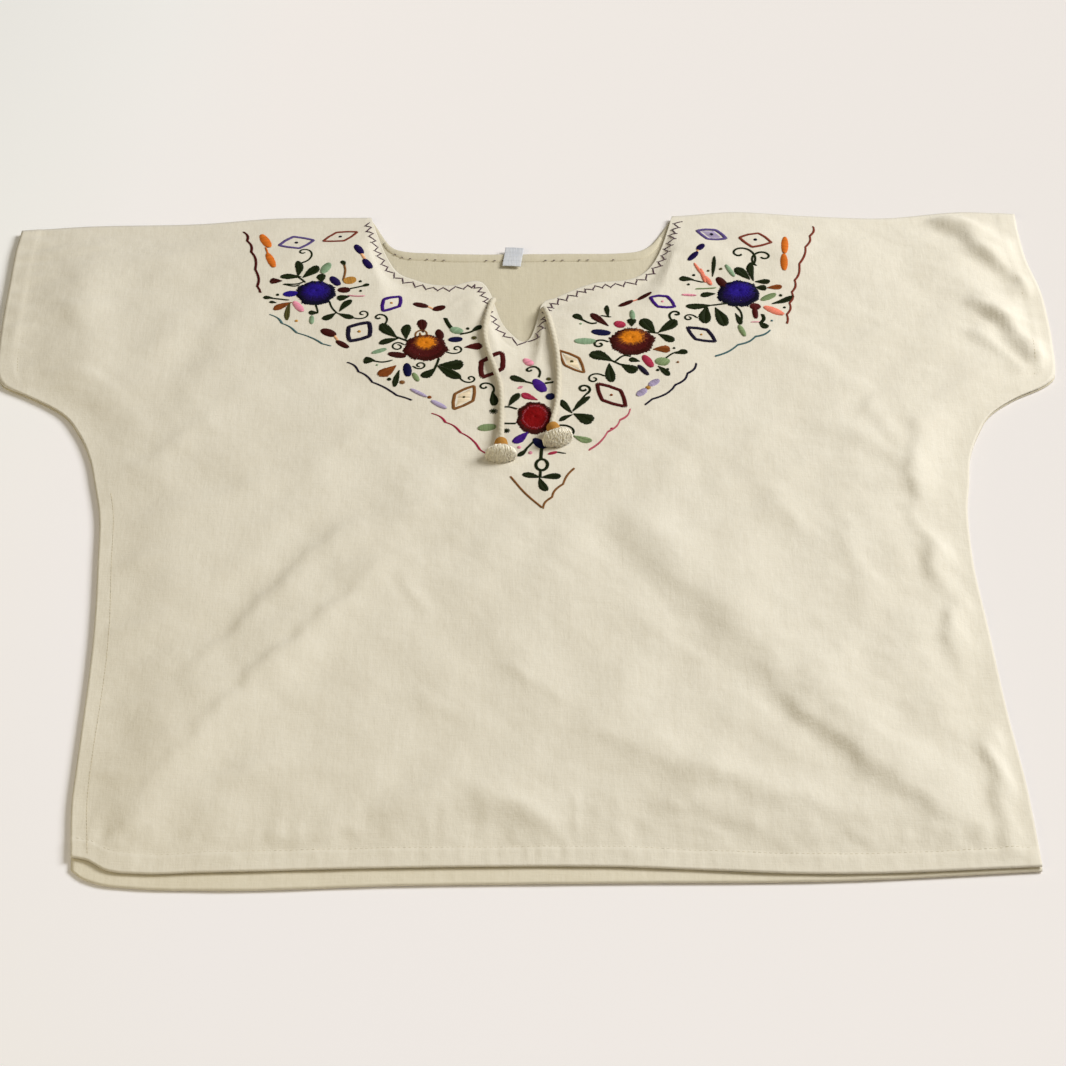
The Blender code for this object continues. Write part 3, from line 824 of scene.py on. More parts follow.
def satin_oval(ax, ay, bx, by, width, colour):
    """Threads across an oval that runs from a to b, slightly slanted and raised in its middle."""
    along, across, long = unit((ax, ay), (bx, by))
    t = np.linspace(0.03, 0.97, max(4, int(long / PITCH)))
    half = width / 2 * np.sqrt(np.clip(1 - (2 * t - 1) ** 2, 0.02, 1)) ** 0.9
    half = half * (1 + rng.normal(0, 0.03, len(t)))
    spine = np.array((ax, ay)) + np.outer(t * long, along)
    slant = 0.10 * half[:, None] * along
    return [stitch_row(spine - half[:, None] * across - slant, spine + half[:, None] * across + slant, colour, 0.66, 0.75)]


def fishbone_leaf(ax, ay, bx, by, width, colour):
    """A leaf from its base to its tip: two rows of slanted threads that meet along a sunken midrib."""
    along, across, long = unit((ax, ay), (bx, by))
    t = np.linspace(0.02, 0.96, max(5, int(long / (PITCH * 1.02))))
    bend = rng.uniform(-0.07, 0.07) * long * np.sin(pi * t)
    half = width * rng.uniform(0.46, 0.53) * np.sin(pi * t**1.3) ** 0.8 + 0.25
    rows = []
    for side in (-1, 1):
        reach = half * (1 + rng.normal(0, 0.05, len(t)))
        start = np.array((ax, ay)) + np.outer(t * long - 0.35 * reach, along) + np.outer(bend - side * 0.35, across)
        end = np.array((ax, ay)) + np.outer(t * long + 0.45 * reach, along) + np.outer(bend + side * reach, across)
        rows.append(stitch_row(start, end, colour, 0.66, 0.6))
    return rows


def spread_points(points, pitch):
    """Evenly spaced points and headings along a smooth line through the given ones."""
    points = np.array(points, float)
    for _ in range(2):
        if len(points) > 2:
            cut = [points[0]]
            for p, q in zip(points, points[1:]):
                cut += [p * 0.75 + q * 0.25, p * 0.25 + q * 0.75]
            points = np.array(cut + [points[-1]])
    along = np.append(0, np.cumsum(np.linalg.norm(np.diff(points, axis=0), axis=1)))
    at = np.linspace(0, along[-1], max(3, int(along[-1] / pitch)))
    place = np.stack([np.interp(at, along, points[:, k]) for k in range(2)], -1)
    heading = np.gradient(place, axis=0)
    return place, heading / np.maximum(np.linalg.norm(heading, axis=1), 1e-6)[:, None]


def scallops(place, across):
    """Shifts that work a long border line in shallow scallops of uneven length."""
    at = np.append(0, np.cumsum(np.linalg.norm(np.diff(place, axis=0), axis=1)))
    dip = np.abs(np.sin(at * pi / 17 + 0.9 * np.sin(at / 15))) - 0.6
    return across * (1.7 * dip)[:, None]


def stem_line(colour, width, points):
    """A rope of slanted stitches along a line; the long borders are worked in small scallops."""
    place, heading = spread_points(points, 0.62)
    across = np.stack([-heading[:, 1], heading[:, 0]], -1)
    if len(place) * 0.62 > 44:
        place = place + scallops(place, across)
    reach = 0.95 + 0.25 * width
    lean = across * (width * 0.34)
    wave = 1 + rng.normal(0, 0.06, (len(place), 1))
    return [stitch_row(place - heading * reach - lean, place + heading * reach + lean * wave, colour, 0.6 + 0.3 * width, 0.55)]


def satin_line(colour, width, points):
    """A thick bar of threads laid across a line."""
    place, heading = spread_points(points, PITCH)
    across = np.stack([-heading[:, 1], heading[:, 0]], -1)
    if len(place) * PITCH > 44 and np.hypot(*(place[0] - place[-1])) > 20:
        place = place + scallops(place, across)
    across = across + heading * 0.45
    half = width / 2 * (1 + rng.normal(0, 0.05, (len(place), 1)))
    return [stitch_row(place - across * half, place + across * half, colour, 0.62, 0.55)]


def curl_line(colour, width, base, eye, radius, hand):
    """A stem that leaves its base and winds once and a little more round an eye, drawing in."""
    base, eye = np.array(base, float), np.array(eye, float)
    t = np.linspace(0, 1, 16)
    away = base - eye
    far = float(np.hypot(*away))
    angle = np.arctan2(away[1], away[0]) + hand * 2 * pi * 1.1 * t
    reach = radius * (1 - 0.5 * t) + (far - radius) * (1 - t) ** 4
    points = eye + np.stack([np.cos(angle), np.sin(angle)], -1) * reach[:, None]
    return line_stitches(colour, width, points)


def line_stitches(colour, width, points):
    """A thin line is stem stitch, and a thicker one is satin."""
    return stem_line(colour, width, points) if width < 1.6 else satin_line(colour, width, points)


def diamond(colour, fill, dot_colour, width, dot, centre, half_long, half_wide, lean):
    """Four satin bars round a diamond, with a pale fill and a knot where the table has them."""
    rows = []
    long = np.array((cos(radians(lean)), sin(radians(lean)))) * half_long
    wide = np.array((-sin(radians(lean)), cos(radians(lean)))) * half_wide
    centre = np.array(centre, float)
    corners = np.array((centre - long, centre + wide, centre + long, centre - wide))
    loop = []
    for a, b in zip(corners, np.roll(corners, -1, axis=0)):
        bow = (a + b) / 2 - centre
        bow = (a + b) / 2 + bow / np.linalg.norm(bow) * 0.9
        loop += [a, a * 0.72 + bow * 0.28, bow, bow * 0.28 + b * 0.72]
    rows += satin_line(colour, width * 1.3, loop[2:] + loop[:3])
    if fill != "-":
        inner = centre + (corners - centre) * 0.74
        y = np.arange(inner[:, 1].min(), inner[:, 1].max(), 0.75)
        for level in y:
            cuts = []
            for a, b in zip(inner, np.roll(inner, -1, axis=0)):
                if (a[1] - level) * (b[1] - level) < 0:
                    cuts.append(a[0] + (b[0] - a[0]) * (level - a[1]) / (b[1] - a[1]))
            if len(cuts) > 1 and max(cuts) - min(cuts) > 1:
                rows.append(stitch_row((min(cuts), level), (max(cuts), level), fill, 0.8, 0.3))
    if dot:
        rows += knot(*centre, dot, dot_colour)
    return rows


def knot(x, y, radius, colour):
    """A small round knot of crossed threads."""
    turn = np.linspace(0, pi, 5, endpoint=False) + rng.uniform(0, 1)
    arm = np.stack([np.cos(turn), np.sin(turn)], -1) * max(radius, 0.55)
    return [stitch_row(np.array((x, y)) - arm, np.array((x, y)) + arm, colour, 0.75, 0.7)]


def flower(name, centre, size, rim, middle, core_at, core_size, core):
    """Long and short stitches from the heart to a softly lobed rim, in three overlapping rings."""
    rows = []
    centre, core_at = np.array(centre), np.array(core_at)
    lobes = rng.uniform(0, 2 * pi, 4)
    rings = ((0.66, 1.0, rim, 260, 0.08), (0.46, 0.82, middle, 190, 0.10), (0.30, 0.58, middle, 130, 0.08))
    for inner, outer, colour, count, ragged in rings:
        turn = np.linspace(0, 2 * pi, count, endpoint=False) + rng.normal(0, 0.01, count)
        lobe = 1 + sum(0.022 * np.cos((2 * k + 3) * turn + start) for k, start in enumerate(lobes))
        ray = np.stack([np.cos(turn) * size[0], np.sin(turn) * size[1]], -1)
        shift = (core_at - centre) * (1 - outer)
        start = centre + shift + ray * (inner + rng.normal(0, ragged, count))[:, None]
        end = centre + shift * 0.4 + ray * (outer * lobe + rng.normal(0, ragged * 0.36, count))[:, None]
        rows.append(stitch_row(start, end, colour, 0.7, 0.95 - 0.25 * outer))
    between = {"amber": "rust", "blue": "indigo"}.get(core, core)
    layers = ((150, 0.62, 1.02, 1.50, between, 0.95), (130, 0.40, 0.80, 1.24, core, 1.05), (90, 0.0, 0.62, 0.98, core, 1.15))
    for count, near, far, farthest, colour, high in layers:
        turn = np.linspace(0, 2 * pi, count, endpoint=False) + rng.normal(0, 0.02, count)
        ray = np.stack([np.cos(turn) * core_size[0], np.sin(turn) * core_size[1]], -1)
        reach = far + (farthest - far) * rng.random((count, 1)) ** 1.5
        rows.append(stitch_row(core_at + ray * near, core_at + ray * reach, colour, 0.62, high))
    return rows

# %% [markdown]
# The garland's motifs stand in tables, placed from how the flowers, leaves, ovals and diamonds
# lie round the neck: five flowers, with their sprigs, between two rows of ovals and diamonds and a
# scalloped outline. Each row gives plan places in millimetres, a width and a thread colour.

# %% Garland tables
OVALS = (
    (-204, 315.7, -196.6, 296.9, 7.6, "orange"),
    (-197.8, 289.1, -191.5, 270.7, 6.5, "orange"),
    (-130.5, 300, -125, 288.1, 6.6, "plum"),
    (-123.4, 281.9, -117.6, 270.2, 6.7, "plum"),
    (-149.6, 276.8, -154.7, 263.8, 7.7, "mint"),
    (-147.4, 259.5, -141.1, 249.4, 7.2, "plum"),
    (-182.8, 239.3, -172, 240.3, 7.5, "blue"),
    (-137.9, 254.4, -128.5, 257.3, 9.2, "ochre"),
    (-141.6, 244.8, -132.4, 244.1, 7.5, "maroon"),
    (-159.9, 214.2, -159.8, 204.2, 4.1, "mint"),
    (-174.3, 230.6, -167.1, 218.4, 6.4, "pink"),
    (-151.6, 197.3, -141.4, 189, 9.1, "maroon"),
    (-140.1, 183.7, -130.8, 175.9, 5.7, "maroon"),
    (-84.2, 230.2, -73.1, 226.1, 7.2, "maroon"),
    (-69.5, 222.4, -60.4, 227.4, 7.4, "maroon"),
    (-102.7, 174.2, -113.3, 169.3, 4.9, "mint"),
    (-101.4, 168.8, -87.8, 166.6, 7.1, "maroon"),
    (-87.2, 158.5, -85.9, 142.5, 7.2, "navy"),
    (-82, 146.8, -78.3, 137.2, 4.6, "sage"),
    (-64.7, 197.8, -62.8, 186.3, 7, "maroon"),
    (-55.4, 199.1, -46.9, 193.6, 8.2, "mint"),
    (-57, 186, -46.6, 186, 6.9, "navy"),
    (-83.8, 128.8, -71.5, 120, 4, "lilac"),
    (-68.2, 116, -57.1, 106.8, 5.1, "lilac"),
    (-33.9, 85.1, -20.7, 87.5, 8.5, "sage"),
    (-0.5, 165.9, 5.1, 156.3, 6.7, "pink"),
    (7.2, 139.7, 13.9, 125.2, 9.6, "purple"),
    (15.3, 120.4, 21.6, 120.1, 8.8, "navy"),
    (-5.1, 129.6, -2, 131.5, 2.8, "pink"),
    (6.7, 74.1, 14.4, 63.5, 8.4, "navy"),
    (16.7, 57.7, 23.1, 59.8, 3.2, "crimson"),
    (70.4, 226.2, 81.2, 233.6, 5.3, "maroon"),
    (84.5, 234, 95.3, 242.5, 4.6, "maroon"),
    (67.1, 206.5, 74.3, 201.3, 8.2, "crimson"),
    (80, 220.3, 80.6, 208.9, 4.6, "mint"),
    (49.4, 195.7, 63.7, 193.6, 7.9, "navy"),
    (52.6, 183.4, 36.5, 183.4, 7.9, "mint"),
    (87.6, 167.5, 93.4, 153.2, 7.1, "crimson"),
    (96.5, 162, 106.1, 157.6, 10.5, "sage"),
    (83.3, 155.6, 90.6, 144.5, 4.8, "slate"),
    (81.6, 121.4, 88.5, 129.4, 6.7, "lilac"),
    (90.5, 133.1, 98.1, 139.6, 6.3, "lilac"),
    (200.3, 311.7, 198.5, 288, 6, "orange"),
    (198, 287.9, 197.1, 267, 6.1, "orange"),
    (136.8, 300, 132, 292.1, 6, "plum"),
    (124.5, 279.8, 132, 289.8, 5.4, "plum"),
    (158.6, 259.5, 152.8, 273.6, 4.2, "mint"),
    (134.7, 262, 128.9, 277, 2.9, "coral"),
    (133.6, 270.1, 136.4, 252.9, 3.6, "coral"),
    (136.3, 260.9, 140.8, 249.9, 4.6, "coral"),
    (118.2, 238.2, 129.1, 237.8, 2.6, "pink"),
    (146.2, 259.2, 151.5, 246.7, 8, "maroon"),
    (177.7, 231.2, 189.1, 239.7, 6.5, "sage"),
    (179.3, 224, 194, 214.6, 7.6, "coral"),
    (169.5, 225.6, 176.3, 221.5, 8.5, "wine"),
    (172.2, 223, 172.7, 209.9, 4.9, "wine"),
    (159.6, 202.2, 163.4, 188.3, 4.7, "sage"),
)
LEAVES = (
    (-172.9, 260.4, -173.9, 278.8, 5.9, "leaf_green"),
    (-169.2, 258.9, -158.3, 273.3, 8.2, "leaf_green"),
    (-170.2, 260, -186.2, 260, 6.7, "leaf_green"),
    (-184.6, 254.7, -193.6, 254.4, 7, "maroon"),
    (-154.2, 252.4, -154.7, 263, 7.1, "leaf_green"),
    (-137.7, 273, -140.1, 279.4, 3.6, "leaf_green"),
    (-124.2, 248.3, -118.4, 250.9, 3.2, "leaf_green"),
    (-132.7, 236.6, -141.8, 234.3, 6.5, "leaf_green"),
    (-139.5, 219, -130.9, 232.4, 5.8, "leaf_green"),
    (-142.2, 216.9, -151.9, 210.1, 5.7, "leaf_green"),
    (-140.3, 216.4, -128.5, 210.5, 5.7, "leaf_green"),
    (-155.4, 217.5, -162.4, 217.9, 4.8, "leaf_green"),
    (-176, 229.4, -189, 220.5, 6.3, "rust"),
    (-177.1, 229.4, -178.3, 208, 4.1, "olive"),
    (-190.6, 234.8, -197.4, 235.4, 3.6, "leaf_green"),
    (-187.6, 229.1, -192.6, 229.8, 2.7, "leaf_green"),
    (-95, 186.9, -107.8, 203.9, 8.7, "leaf_green"),
    (-88.4, 185.6, -87.7, 202.8, 7.4, "leaf_green"),
    (-94.4, 186, -108.4, 180.2, 6.3, "leaf_green"),
    (-110.7, 160.7, -119, 160.7, 7.6, "leaf_green"),
    (-95, 155.7, -107.7, 143.9, 9.3, "rust"),
    (-92.5, 150.3, -95.5, 130.9, 4, "leaf_green"),
    (-76, 194.2, -77.3, 209.2, 7.5, "maroon"),
    (-40, 195.5, -32.8, 201.9, 4.8, "leaf_green"),
    (-44.9, 176.5, -31.9, 178.2, 7.3, "wine"),
    (-63.6, 155.3, -45.4, 157.1, 10.7, "leaf_green"),
    (-65.6, 152.1, -75.9, 142.2, 8, "leaf_green"),
    (-64.5, 154.4, -47, 140.8, 8.7, "leaf_green"),
    (-24, 126.1, -22.7, 110.4, 6.4, "leaf_green"),
    (1.3, 136.6, -10.7, 143.6, 6.7, "leaf_green"),
    (9.2, 116.1, -2.4, 123.8, 6.5, "crimson"),
    (-11.8, 110.5, -4.3, 124.3, 6.1, "leaf_green"),
    (34.3, 101.4, 26.6, 116.5, 5.3, "leaf_green"),
    (34.8, 103.7, 47.5, 120.8, 5, "leaf_green"),
    (35.1, 100.9, 48.7, 92.3, 11.2, "leaf_green"),
    (34.3, 99.7, 24.9, 92.9, 3.6, "leaf_green"),
    (34.9, 77.6, 48.1, 71.5, 6.1, "sage"),
    (2.4, 80.9, -8.3, 68.8, 6.8, "purple"),
    (1.7, 62.4, -5.2, 54.9, 3.6, "leaf_green"),
    (11.1, 32, -1.7, 36, 6.3, "leaf_green"),
    (11.4, 32, 25.6, 34.1, 6.5, "leaf_green"),
    (10.4, 31.6, 15.6, 17.4, 5.7, "leaf_green"),
    (43.4, 207.5, 36.6, 216.8, 6.3, "leaf_green"),
    (62.3, 202, 49.2, 216.8, 6.7, "maroon"),
    (62.4, 212.8, 61.4, 227.4, 3.5, "leaf_green"),
    (79.6, 201.3, 79.8, 210, 7.3, "leaf_green"),
    (96.8, 192.6, 87.3, 210, 9.4, "leaf_green"),
    (99, 193.3, 112.8, 208.9, 8.3, "leaf_green"),
    (99.2, 191.5, 110.5, 183.1, 7.2, "leaf_green"),
    (94.9, 174.3, 107.2, 173, 8.5, "rust"),
    (111.1, 168.5, 120, 170.6, 5.6, "leaf_green"),
    (97.9, 154.7, 105.9, 143.8, 5, "leaf_green"),
    (64.7, 160, 47.8, 169.2, 11.9, "leaf_green"),
    (62, 157.6, 63.6, 136.1, 7.5, "leaf_green"),
    (70.4, 156.9, 82.2, 148.8, 9.9, "leaf_green"),
    (84.6, 160.3, 77.2, 163.7, 5.5, "leaf_green"),
    (173.1, 254.5, 172.7, 279.1, 5.6, "leaf_green"),
    (170.4, 256.3, 160.2, 270.1, 8, "leaf_green"),
    (174.3, 253.7, 185.5, 254.5, 5.4, "leaf_green"),
    (142.2, 259.8, 144.6, 284.6, 3, "leaf_green"),
    (127.7, 256.6, 117, 257.9, 6.4, "leaf_green"),
    (143.4, 239.7, 132.4, 237.5, 5.2, "leaf_green"),
    (173.9, 246.6, 182.3, 246.6, 6.3, "leaf_green"),
    (182.9, 246.4, 194.2, 248.3, 5.6, "rust"),
    (185.4, 227.1, 202.9, 237.4, 5, "leaf_green"),
    (174.9, 205.6, 180.1, 197.6, 5.8, "leaf_green"),
    (140.6, 226.8, 120.5, 225.1, 6.3, "leaf_green"),
    (136.6, 225.9, 134.3, 204.4, 9.6, "leaf_green"),
    (142.8, 224, 149.3, 201.3, 9.5, "leaf_green"),
    (157.6, 216.2, 161, 202.8, 3.9, "leaf_green"),
)
STEMS = (
    # colour, width, points from the base to the tip
    ("orange", 1.6, ((-199.5, 296.9), (-197.4, 288.4))),
    ("peach", 2.3, ((-125.6, 288.7), (-122.6, 281.3))),
    ("leaf_green", 1.6, ((-172.1, 259.2), (-169.1, 256.2), (-167, 253.2))),
    ("leaf_green", 1.4, ((-182.5, 250.9), (-173.5, 250.9), (-168.9, 253.2))),
    ("leaf_green", 1.4, ((-182, 250.4), (-175.3, 248.3), (-171.6, 249.8))),
    ("bark", 1.8, ((-138.2, 255.4), (-136.8, 266.9), (-138.1, 273.7))),
    ("leaf_green", 1.5, ((-132.6, 246.1), (-127, 247.6), (-121.4, 249.8))),
    ("pink", 1.4, ((-133, 237.8), (-127.5, 236.6), (-122.3, 236.6))),
    ("leaf_green", 1.5, ((-147.5, 230.6), (-145.8, 223.9), (-141.3, 216.9))),
    ("leaf_green", 1.4, ((-157.7, 226.9), (-155.4, 217.9), (-157.7, 216.9))),
    ("leaf_green", 1.5, ((-196.7, 235.1), (-188.7, 234), (-179.1, 232.4))),
    ("peach", 2.1, ((-142.2, 190), (-138.6, 182.7))),
    ("peach", 2, ((-73.9, 226.9), (-68.8, 223.7))),
    ("leaf_green", 2, ((-95.6, 187.8), (-87.4, 183.8))),
    ("leaf_green", 1.4, ((-111.5, 160.3), (-105.1, 158.9), (-98.8, 161.1))),
    ("leaf_green", 3.5, ((-59.8, 211.6), (-58.2, 205.7), (-55.2, 199.1))),
    ("leaf_green", 1.7, ((-48.1, 192), (-41.1, 194.2), (-35.4, 198.8))),
    ("leaf_green", 2, ((-63.7, 162.8), (-64.8, 157.1), (-66.4, 151.4))),
    ("leaf_green", 1.7, ((0.8, 136.6), (7, 134))),
    ("leaf_green", 2.1, ((14.7, 135.3), (20.5, 136.9))),
    ("leaf_green", 1.7, ((-15.4, 109.4), (-10.8, 109.4), (-6, 106.8))),
    ("leaf_green", 1.9, ((-16.8, 90.9), (-12.2, 90.4), (-6.7, 90.1))),
    ("leaf_green", 1.5, ((34.9, 104.8), (42.1, 119.6), (46, 125.5))),
    ("leaf_green", 1.8, ((6.4, 71), (1.9, 64.2), (-1.6, 58.5))),
    ("leaf_green", 1.5, ((23.4, 59.7), (28.1, 58.2))),
    ("leaf_green", 2.8, ((12, 65), (11.4, 52.5))),
    ("leaf_green", 2.3, ((11.1, 39.5), (10.9, 32.8))),
    ("coral", 1.4, ((80.3, 232.4), (85.5, 235))),
    ("leaf_green", 1.8, ((42.6, 208.9), (48.7, 204), (53.3, 205.1))),
    ("leaf_green", 1.5, ((57.7, 214.2), (63.2, 212.8))),
    ("leaf_green", 1.8, ((90.2, 194.7), (99.2, 192.6))),
    ("leaf_green", 1.4, ((103.9, 163.7), (109.5, 169.4), (114.5, 170.6))),
    ("leaf_green", 1.9, ((63.4, 161.2), (70.9, 155.9))),
    ("leaf_green", 1.6, ((66.7, 160.3), (72.8, 167.8), (77.9, 166.3))),
    ("peach", 1.7, ((131.4, 290), (132.9, 293.3))),
    ("leaf_green", 1.5, ((127.1, 256.1), (134, 253.7))),
    ("sage", 1.5, ((129.7, 245.8), (143.4, 246.6))),
    ("leaf_green", 3.1, ((177.9, 214.6), (179, 209.3), (175.6, 204.2))),
    ("pink", 1.1, ((169.7, 205.8), (174.3, 205.8))),
    ("leaf_green", 1.7, ((153.5, 228.4), (146.1, 227.6), (140.1, 226.8))),
    ("leaf_green", 1.7, ((158.8, 223.7), (162.8, 215.9), (161.4, 204.2))),
)
BORDERS = (
    # colour, width, start, middle, end
    ("wine", 2.1, (-217, 320), (-206, 280), (-201, 241)),
    ("teal", 1.3, (-190, 215), (-170, 193), (-145, 178)),
    ("slate", 1.6, (-130, 160), (-109, 134), (-83, 116)),
    ("crimson", 1.4, (-66, 102), (-43, 79), (-24, 52)),
    ("bark", 1.7, (-10, 33), (0, 16), (12, 0)),
    ("bark", 1.7, (12, 0), (23, 20), (35, 42)),
    ("slate", 1.8, (127, 157), (111, 131), (87, 112)),
    ("rose", 1.4, (77, 105), (62, 83), (47, 62)),
    ("brick", 1.8, (224, 326), (207, 265), (195, 204)),
    ("teal", 1.6, (183, 194), (162, 181), (141, 166)),
)
CURLS = (
    # colour, width, base, eye of the loop, radius, +1 where it winds to the left
    ("leaf_green", 1.4, (-171.6, 276.3), (-170.4, 289.7), 3.4, 1),
    ("leaf_green", 1.2, (-129.3, 211), (-121.8, 216), 3.4, 1),
    ("leaf_green", 1.6, (-106, 201.5), (-109.9, 211.1), 2.8, 1),
    ("leaf_green", 1.3, (-90.2, 179.6), (-94.6, 177.1), 4.4, 1),
    ("bark", 1.4, (-81.7, 189.6), (-76.3, 192.6), 3.9, -1),
    ("leaf_green", 1.4, (-57.5, 170.6), (-50.6, 175), 3, 1),
    ("leaf_green", 1.4, (-47.8, 141.1), (-39.8, 140.8), 2.8, 1),
    ("leaf_green", 1.4, (-81.9, 154.4), (-77.3, 155.9), 4, 1),
    ("leaf_green", 1.7, (-23.6, 124.4), (-30, 131.6), 3.4, 1),
    ("leaf_green", 1.9, (10.1, 142.4), (3.4, 150.7), 2.6, 1),
    ("leaf_green", 2.1, (45.2, 124), (42.7, 129.6), 4.1, 1),
    ("leaf_green", 1.8, (25.1, 88.6), (31.1, 80.7), 2.7, -1),
    ("leaf_green", 1.9, (111.3, 206.5), (113.5, 215.6), 2.3, -1),
    ("leaf_green", 1.9, (61.6, 183.4), (54.9, 179.7), 3.5, 1),
    ("leaf_green", 1.5, (58.2, 143.4), (50.3, 139.9), 3.2, 1),
    ("leaf_green", 1.9, (169.7, 269.7), (163.4, 289.6), 5.1, 1),
    ("leaf_green", 1.9, (175.9, 274.3), (182.8, 285.9), 4.8, -1),
    ("leaf_green", 1.5, (128.2, 211.2), (122.3, 210.7), 2.9, 1),
)
DIAMONDS = (
    # outline, fill, knot colour, width, knot radius, centre, half length, half breadth, lean in degrees
    ("violet", "-", "night", 2.1, 1.6, (-176.4, 304.2), 13.7, 9.6, 17),
    ("brick", "-", "night", 1.7, 1.4, (-143, 312.8), 14.4, 7.6, 26),
    ("slate", "-", "ochre", 2.8, 1.4, (-123.7, 194.5), 12.7, 9.5, 57),
    ("purple", "-", "ochre", 2.3, 1.2, (-100.7, 228.8), 11.7, 7, 58),
    ("bark", "cream", "olive", 2, 1.2, (-44.5, 119.4), 15, 7.7, 61),
    ("wine", "-", "-", 3.2, 0, (-24.4, 156.8), 16.3, 8.7, 64),
    ("purple", "-", "pink", 2.2, 1.1, (103.3, 229.9), 10.8, 7.1, -33),
    ("bark", "cream", "olive", 1.8, 1.6, (34.4, 160.2), 15.7, 6.6, -55),
    ("wine", "-", "rust", 2.5, 1.2, (62.9, 121.9), 16.4, 8.7, -52),
    ("violet", "lilac", "night", 2.4, 1.8, (143.7, 315.4), 12.3, 7.5, -27),
    ("brick", "-", "night", 1.9, 1.6, (177.1, 306.7), 12.7, 9.8, -17),
    ("slate", "-", "ochre", 2.4, 1, (131.1, 191.5), 13.1, 7.1, -40),
)
FLOWERS = (
    ("left_blue", (-158.3, 240.3), (14.9, 14.2), "night", "plum", (-158.5, 242.6), (8.8, 8.2), "blue"),
    ("left_orange", (-73.8, 176), (16.2, 15.3), "maroon", "wine", (-74, 181.4), (7.7, 7.2), "amber"),
    ("centre", (7, 96.3), (13.3, 17.7), "maroon", "red", (7, 97.1), (7.2, 10.2), "red"),
    ("right_orange", (79.2, 183.4), (16.7, 15.7), "maroon", "wine", (79.3, 188.1), (9.2, 8.3), "amber"),
    ("right_blue", (161, 239.4), (15.9, 15.7), "night", "plum", (161.6, 242.6), (9.4, 9.0), "blue"),
)
DOTS = (
    (-125.2, 254.7, 1.4, "leaf_green"),
    (-124.5, 242.9, 1.2, "leaf_green"),
    (-171.2, 207.6, 1.4, "ochre"),
    (-187, 238.4, 1.4, "leaf_green"),
    (-109, 156, 0.9, "mint"),
    (-99.6, 139.7, 1.9, "leaf_green"),
    (-90, 136.2, 2.5, "bark"),
    (-42.9, 198.4, 1.5, "leaf_green"),
    (-38.1, 188.2, 2.4, "olive"),
    (-69.6, 119.7, 1.8, "rust"),
    (-22.9, 104.4, 3.6, "leaf_green"),
    (17.2, 140.4, 2.1, "olive"),
    (-13.2, 82.5, 2.9, "leaf_green"),
    (-4.1, 64.2, 1.6, "pink"),
    (3.9, 58.9, 1.7, "pink"),
    (41.5, 203.7, 1.1, "mint"),
    (110.3, 174.8, 1.1, "leaf_green"),
    (112.5, 158.6, 1.1, "bark"),
    (97.5, 150.2, 1.4, "leaf_green"),
    (104.8, 151, 1.3, "leaf_green"),
    (89.9, 130.9, 2.3, "ochre"),
    (62.6, 84.9, 1.3, "crimson"),
    (139.2, 267.3, 1.2, "olive"),
    (148.8, 268.9, 1.5, "olive"),
    (128, 262, 1.4, "leaf_green"),
    (123.6, 250.8, 1.2, "leaf_green"),
    (192.7, 237.8, 1.5, "leaf_green"),
    (194.8, 223.4, 1.2, "leaf_green"),
    (184.4, 207, 1.1, "teal"),
)

# %% Garland
leaf_rows, petal_rows = [], []
for row in LEAVES:
    (leaf_rows if row[5] == "leaf_green" else petal_rows).extend(fishbone_leaf(*row))
for row in OVALS:
    petal_rows += satin_oval(*row)
rings = [("leaf_green", 2.6, [(12 + 4.2 * cos(a), 46 + 6.2 * sin(a)) for a in np.linspace(0, 2 * pi, 17)])]
borders = [(colour, width, points) for colour, width, *points in BORDERS]
for row in [*STEMS, *rings, *borders]:
    (leaf_rows if row[0] == "leaf_green" else petal_rows).extend(line_stitches(*row))
for row in CURLS:
    (leaf_rows if row[0] == "leaf_green" else petal_rows).extend(curl_line(*row))
for row in DIAMONDS:
    petal_rows += diamond(*row)
for row in DOTS:
    (leaf_rows if row[3] == "leaf_green" else petal_rows).extend(knot(*row))
flower_rows = []
for row in FLOWERS:
    flower_rows += flower(*row)
turn = np.linspace(0, 2 * pi, 42, endpoint=False) + rng.normal(0, 0.02, 42)
ray = np.stack([np.cos(turn), np.sin(turn)], -1)
ring = np.array(FLOWERS[2][1]) + ray * (8.6, 12.2) + rng.normal(0, 0.25, (42, 2))
flower_rows.append(stitch_row(ring - ray * 0.75, ring + ray * 0.75, "rose", 0.5, 1.5))
for name, rows in (("stitched_leaves", leaf_rows), ("stitched_petals", petal_rows), ("stitched_flowers", flower_rows)):
    piece = strand_mesh(name, np.concatenate(rows))
    ride_piece(piece, "front_cotton")

# %% [markdown]
# A dark zigzag of single threads holds the turned front neck edge, with a small back stitch at each
# inner point. The hems, the cuffs and the back facing are held by short cream stitches in a row.

# %% Zigzag and sewing stitches
edge = neck_line(600)
for k in range(12):
    edge[3:-3] = (edge[:-6] + edge[3:-3] + edge[6:]) / 3
gap = np.hypot(*np.diff(edge, axis=0).T)
along = np.append(0, np.cumsum(gap))
TOOTH = 4.1
at = np.arange(3, along[-1] - 3, TOOTH)
at = at + rng.normal(0, 0.35, len(at))
pick = np.clip(np.searchsorted(along, at), 0, len(edge) - 1)
near, far = inner_line(edge, 3.2)[pick], inner_line(edge, 7.6)[pick]
odd = np.arange(len(at)) % 2 == 1
tips = np.where(odd[:, None], far, near) + rng.normal(0, 0.35, (len(at), 2))
zigzag = [stitch_row(tips[:-1], tips[1:], "zigzag", 1.1, 0.6)]
zigzag.append(stitch_row(tips[odd], tips[odd] + (far[odd] - near[odd]) * 0.30 + 0.4, "zigzag", 1.0, 0.5))
zigzag.append(stitch_row(tips[~odd], tips[~odd] + (near[~odd] - far[~odd]) * 0.22 - 0.3, "zigzag", 1.0, 0.5))
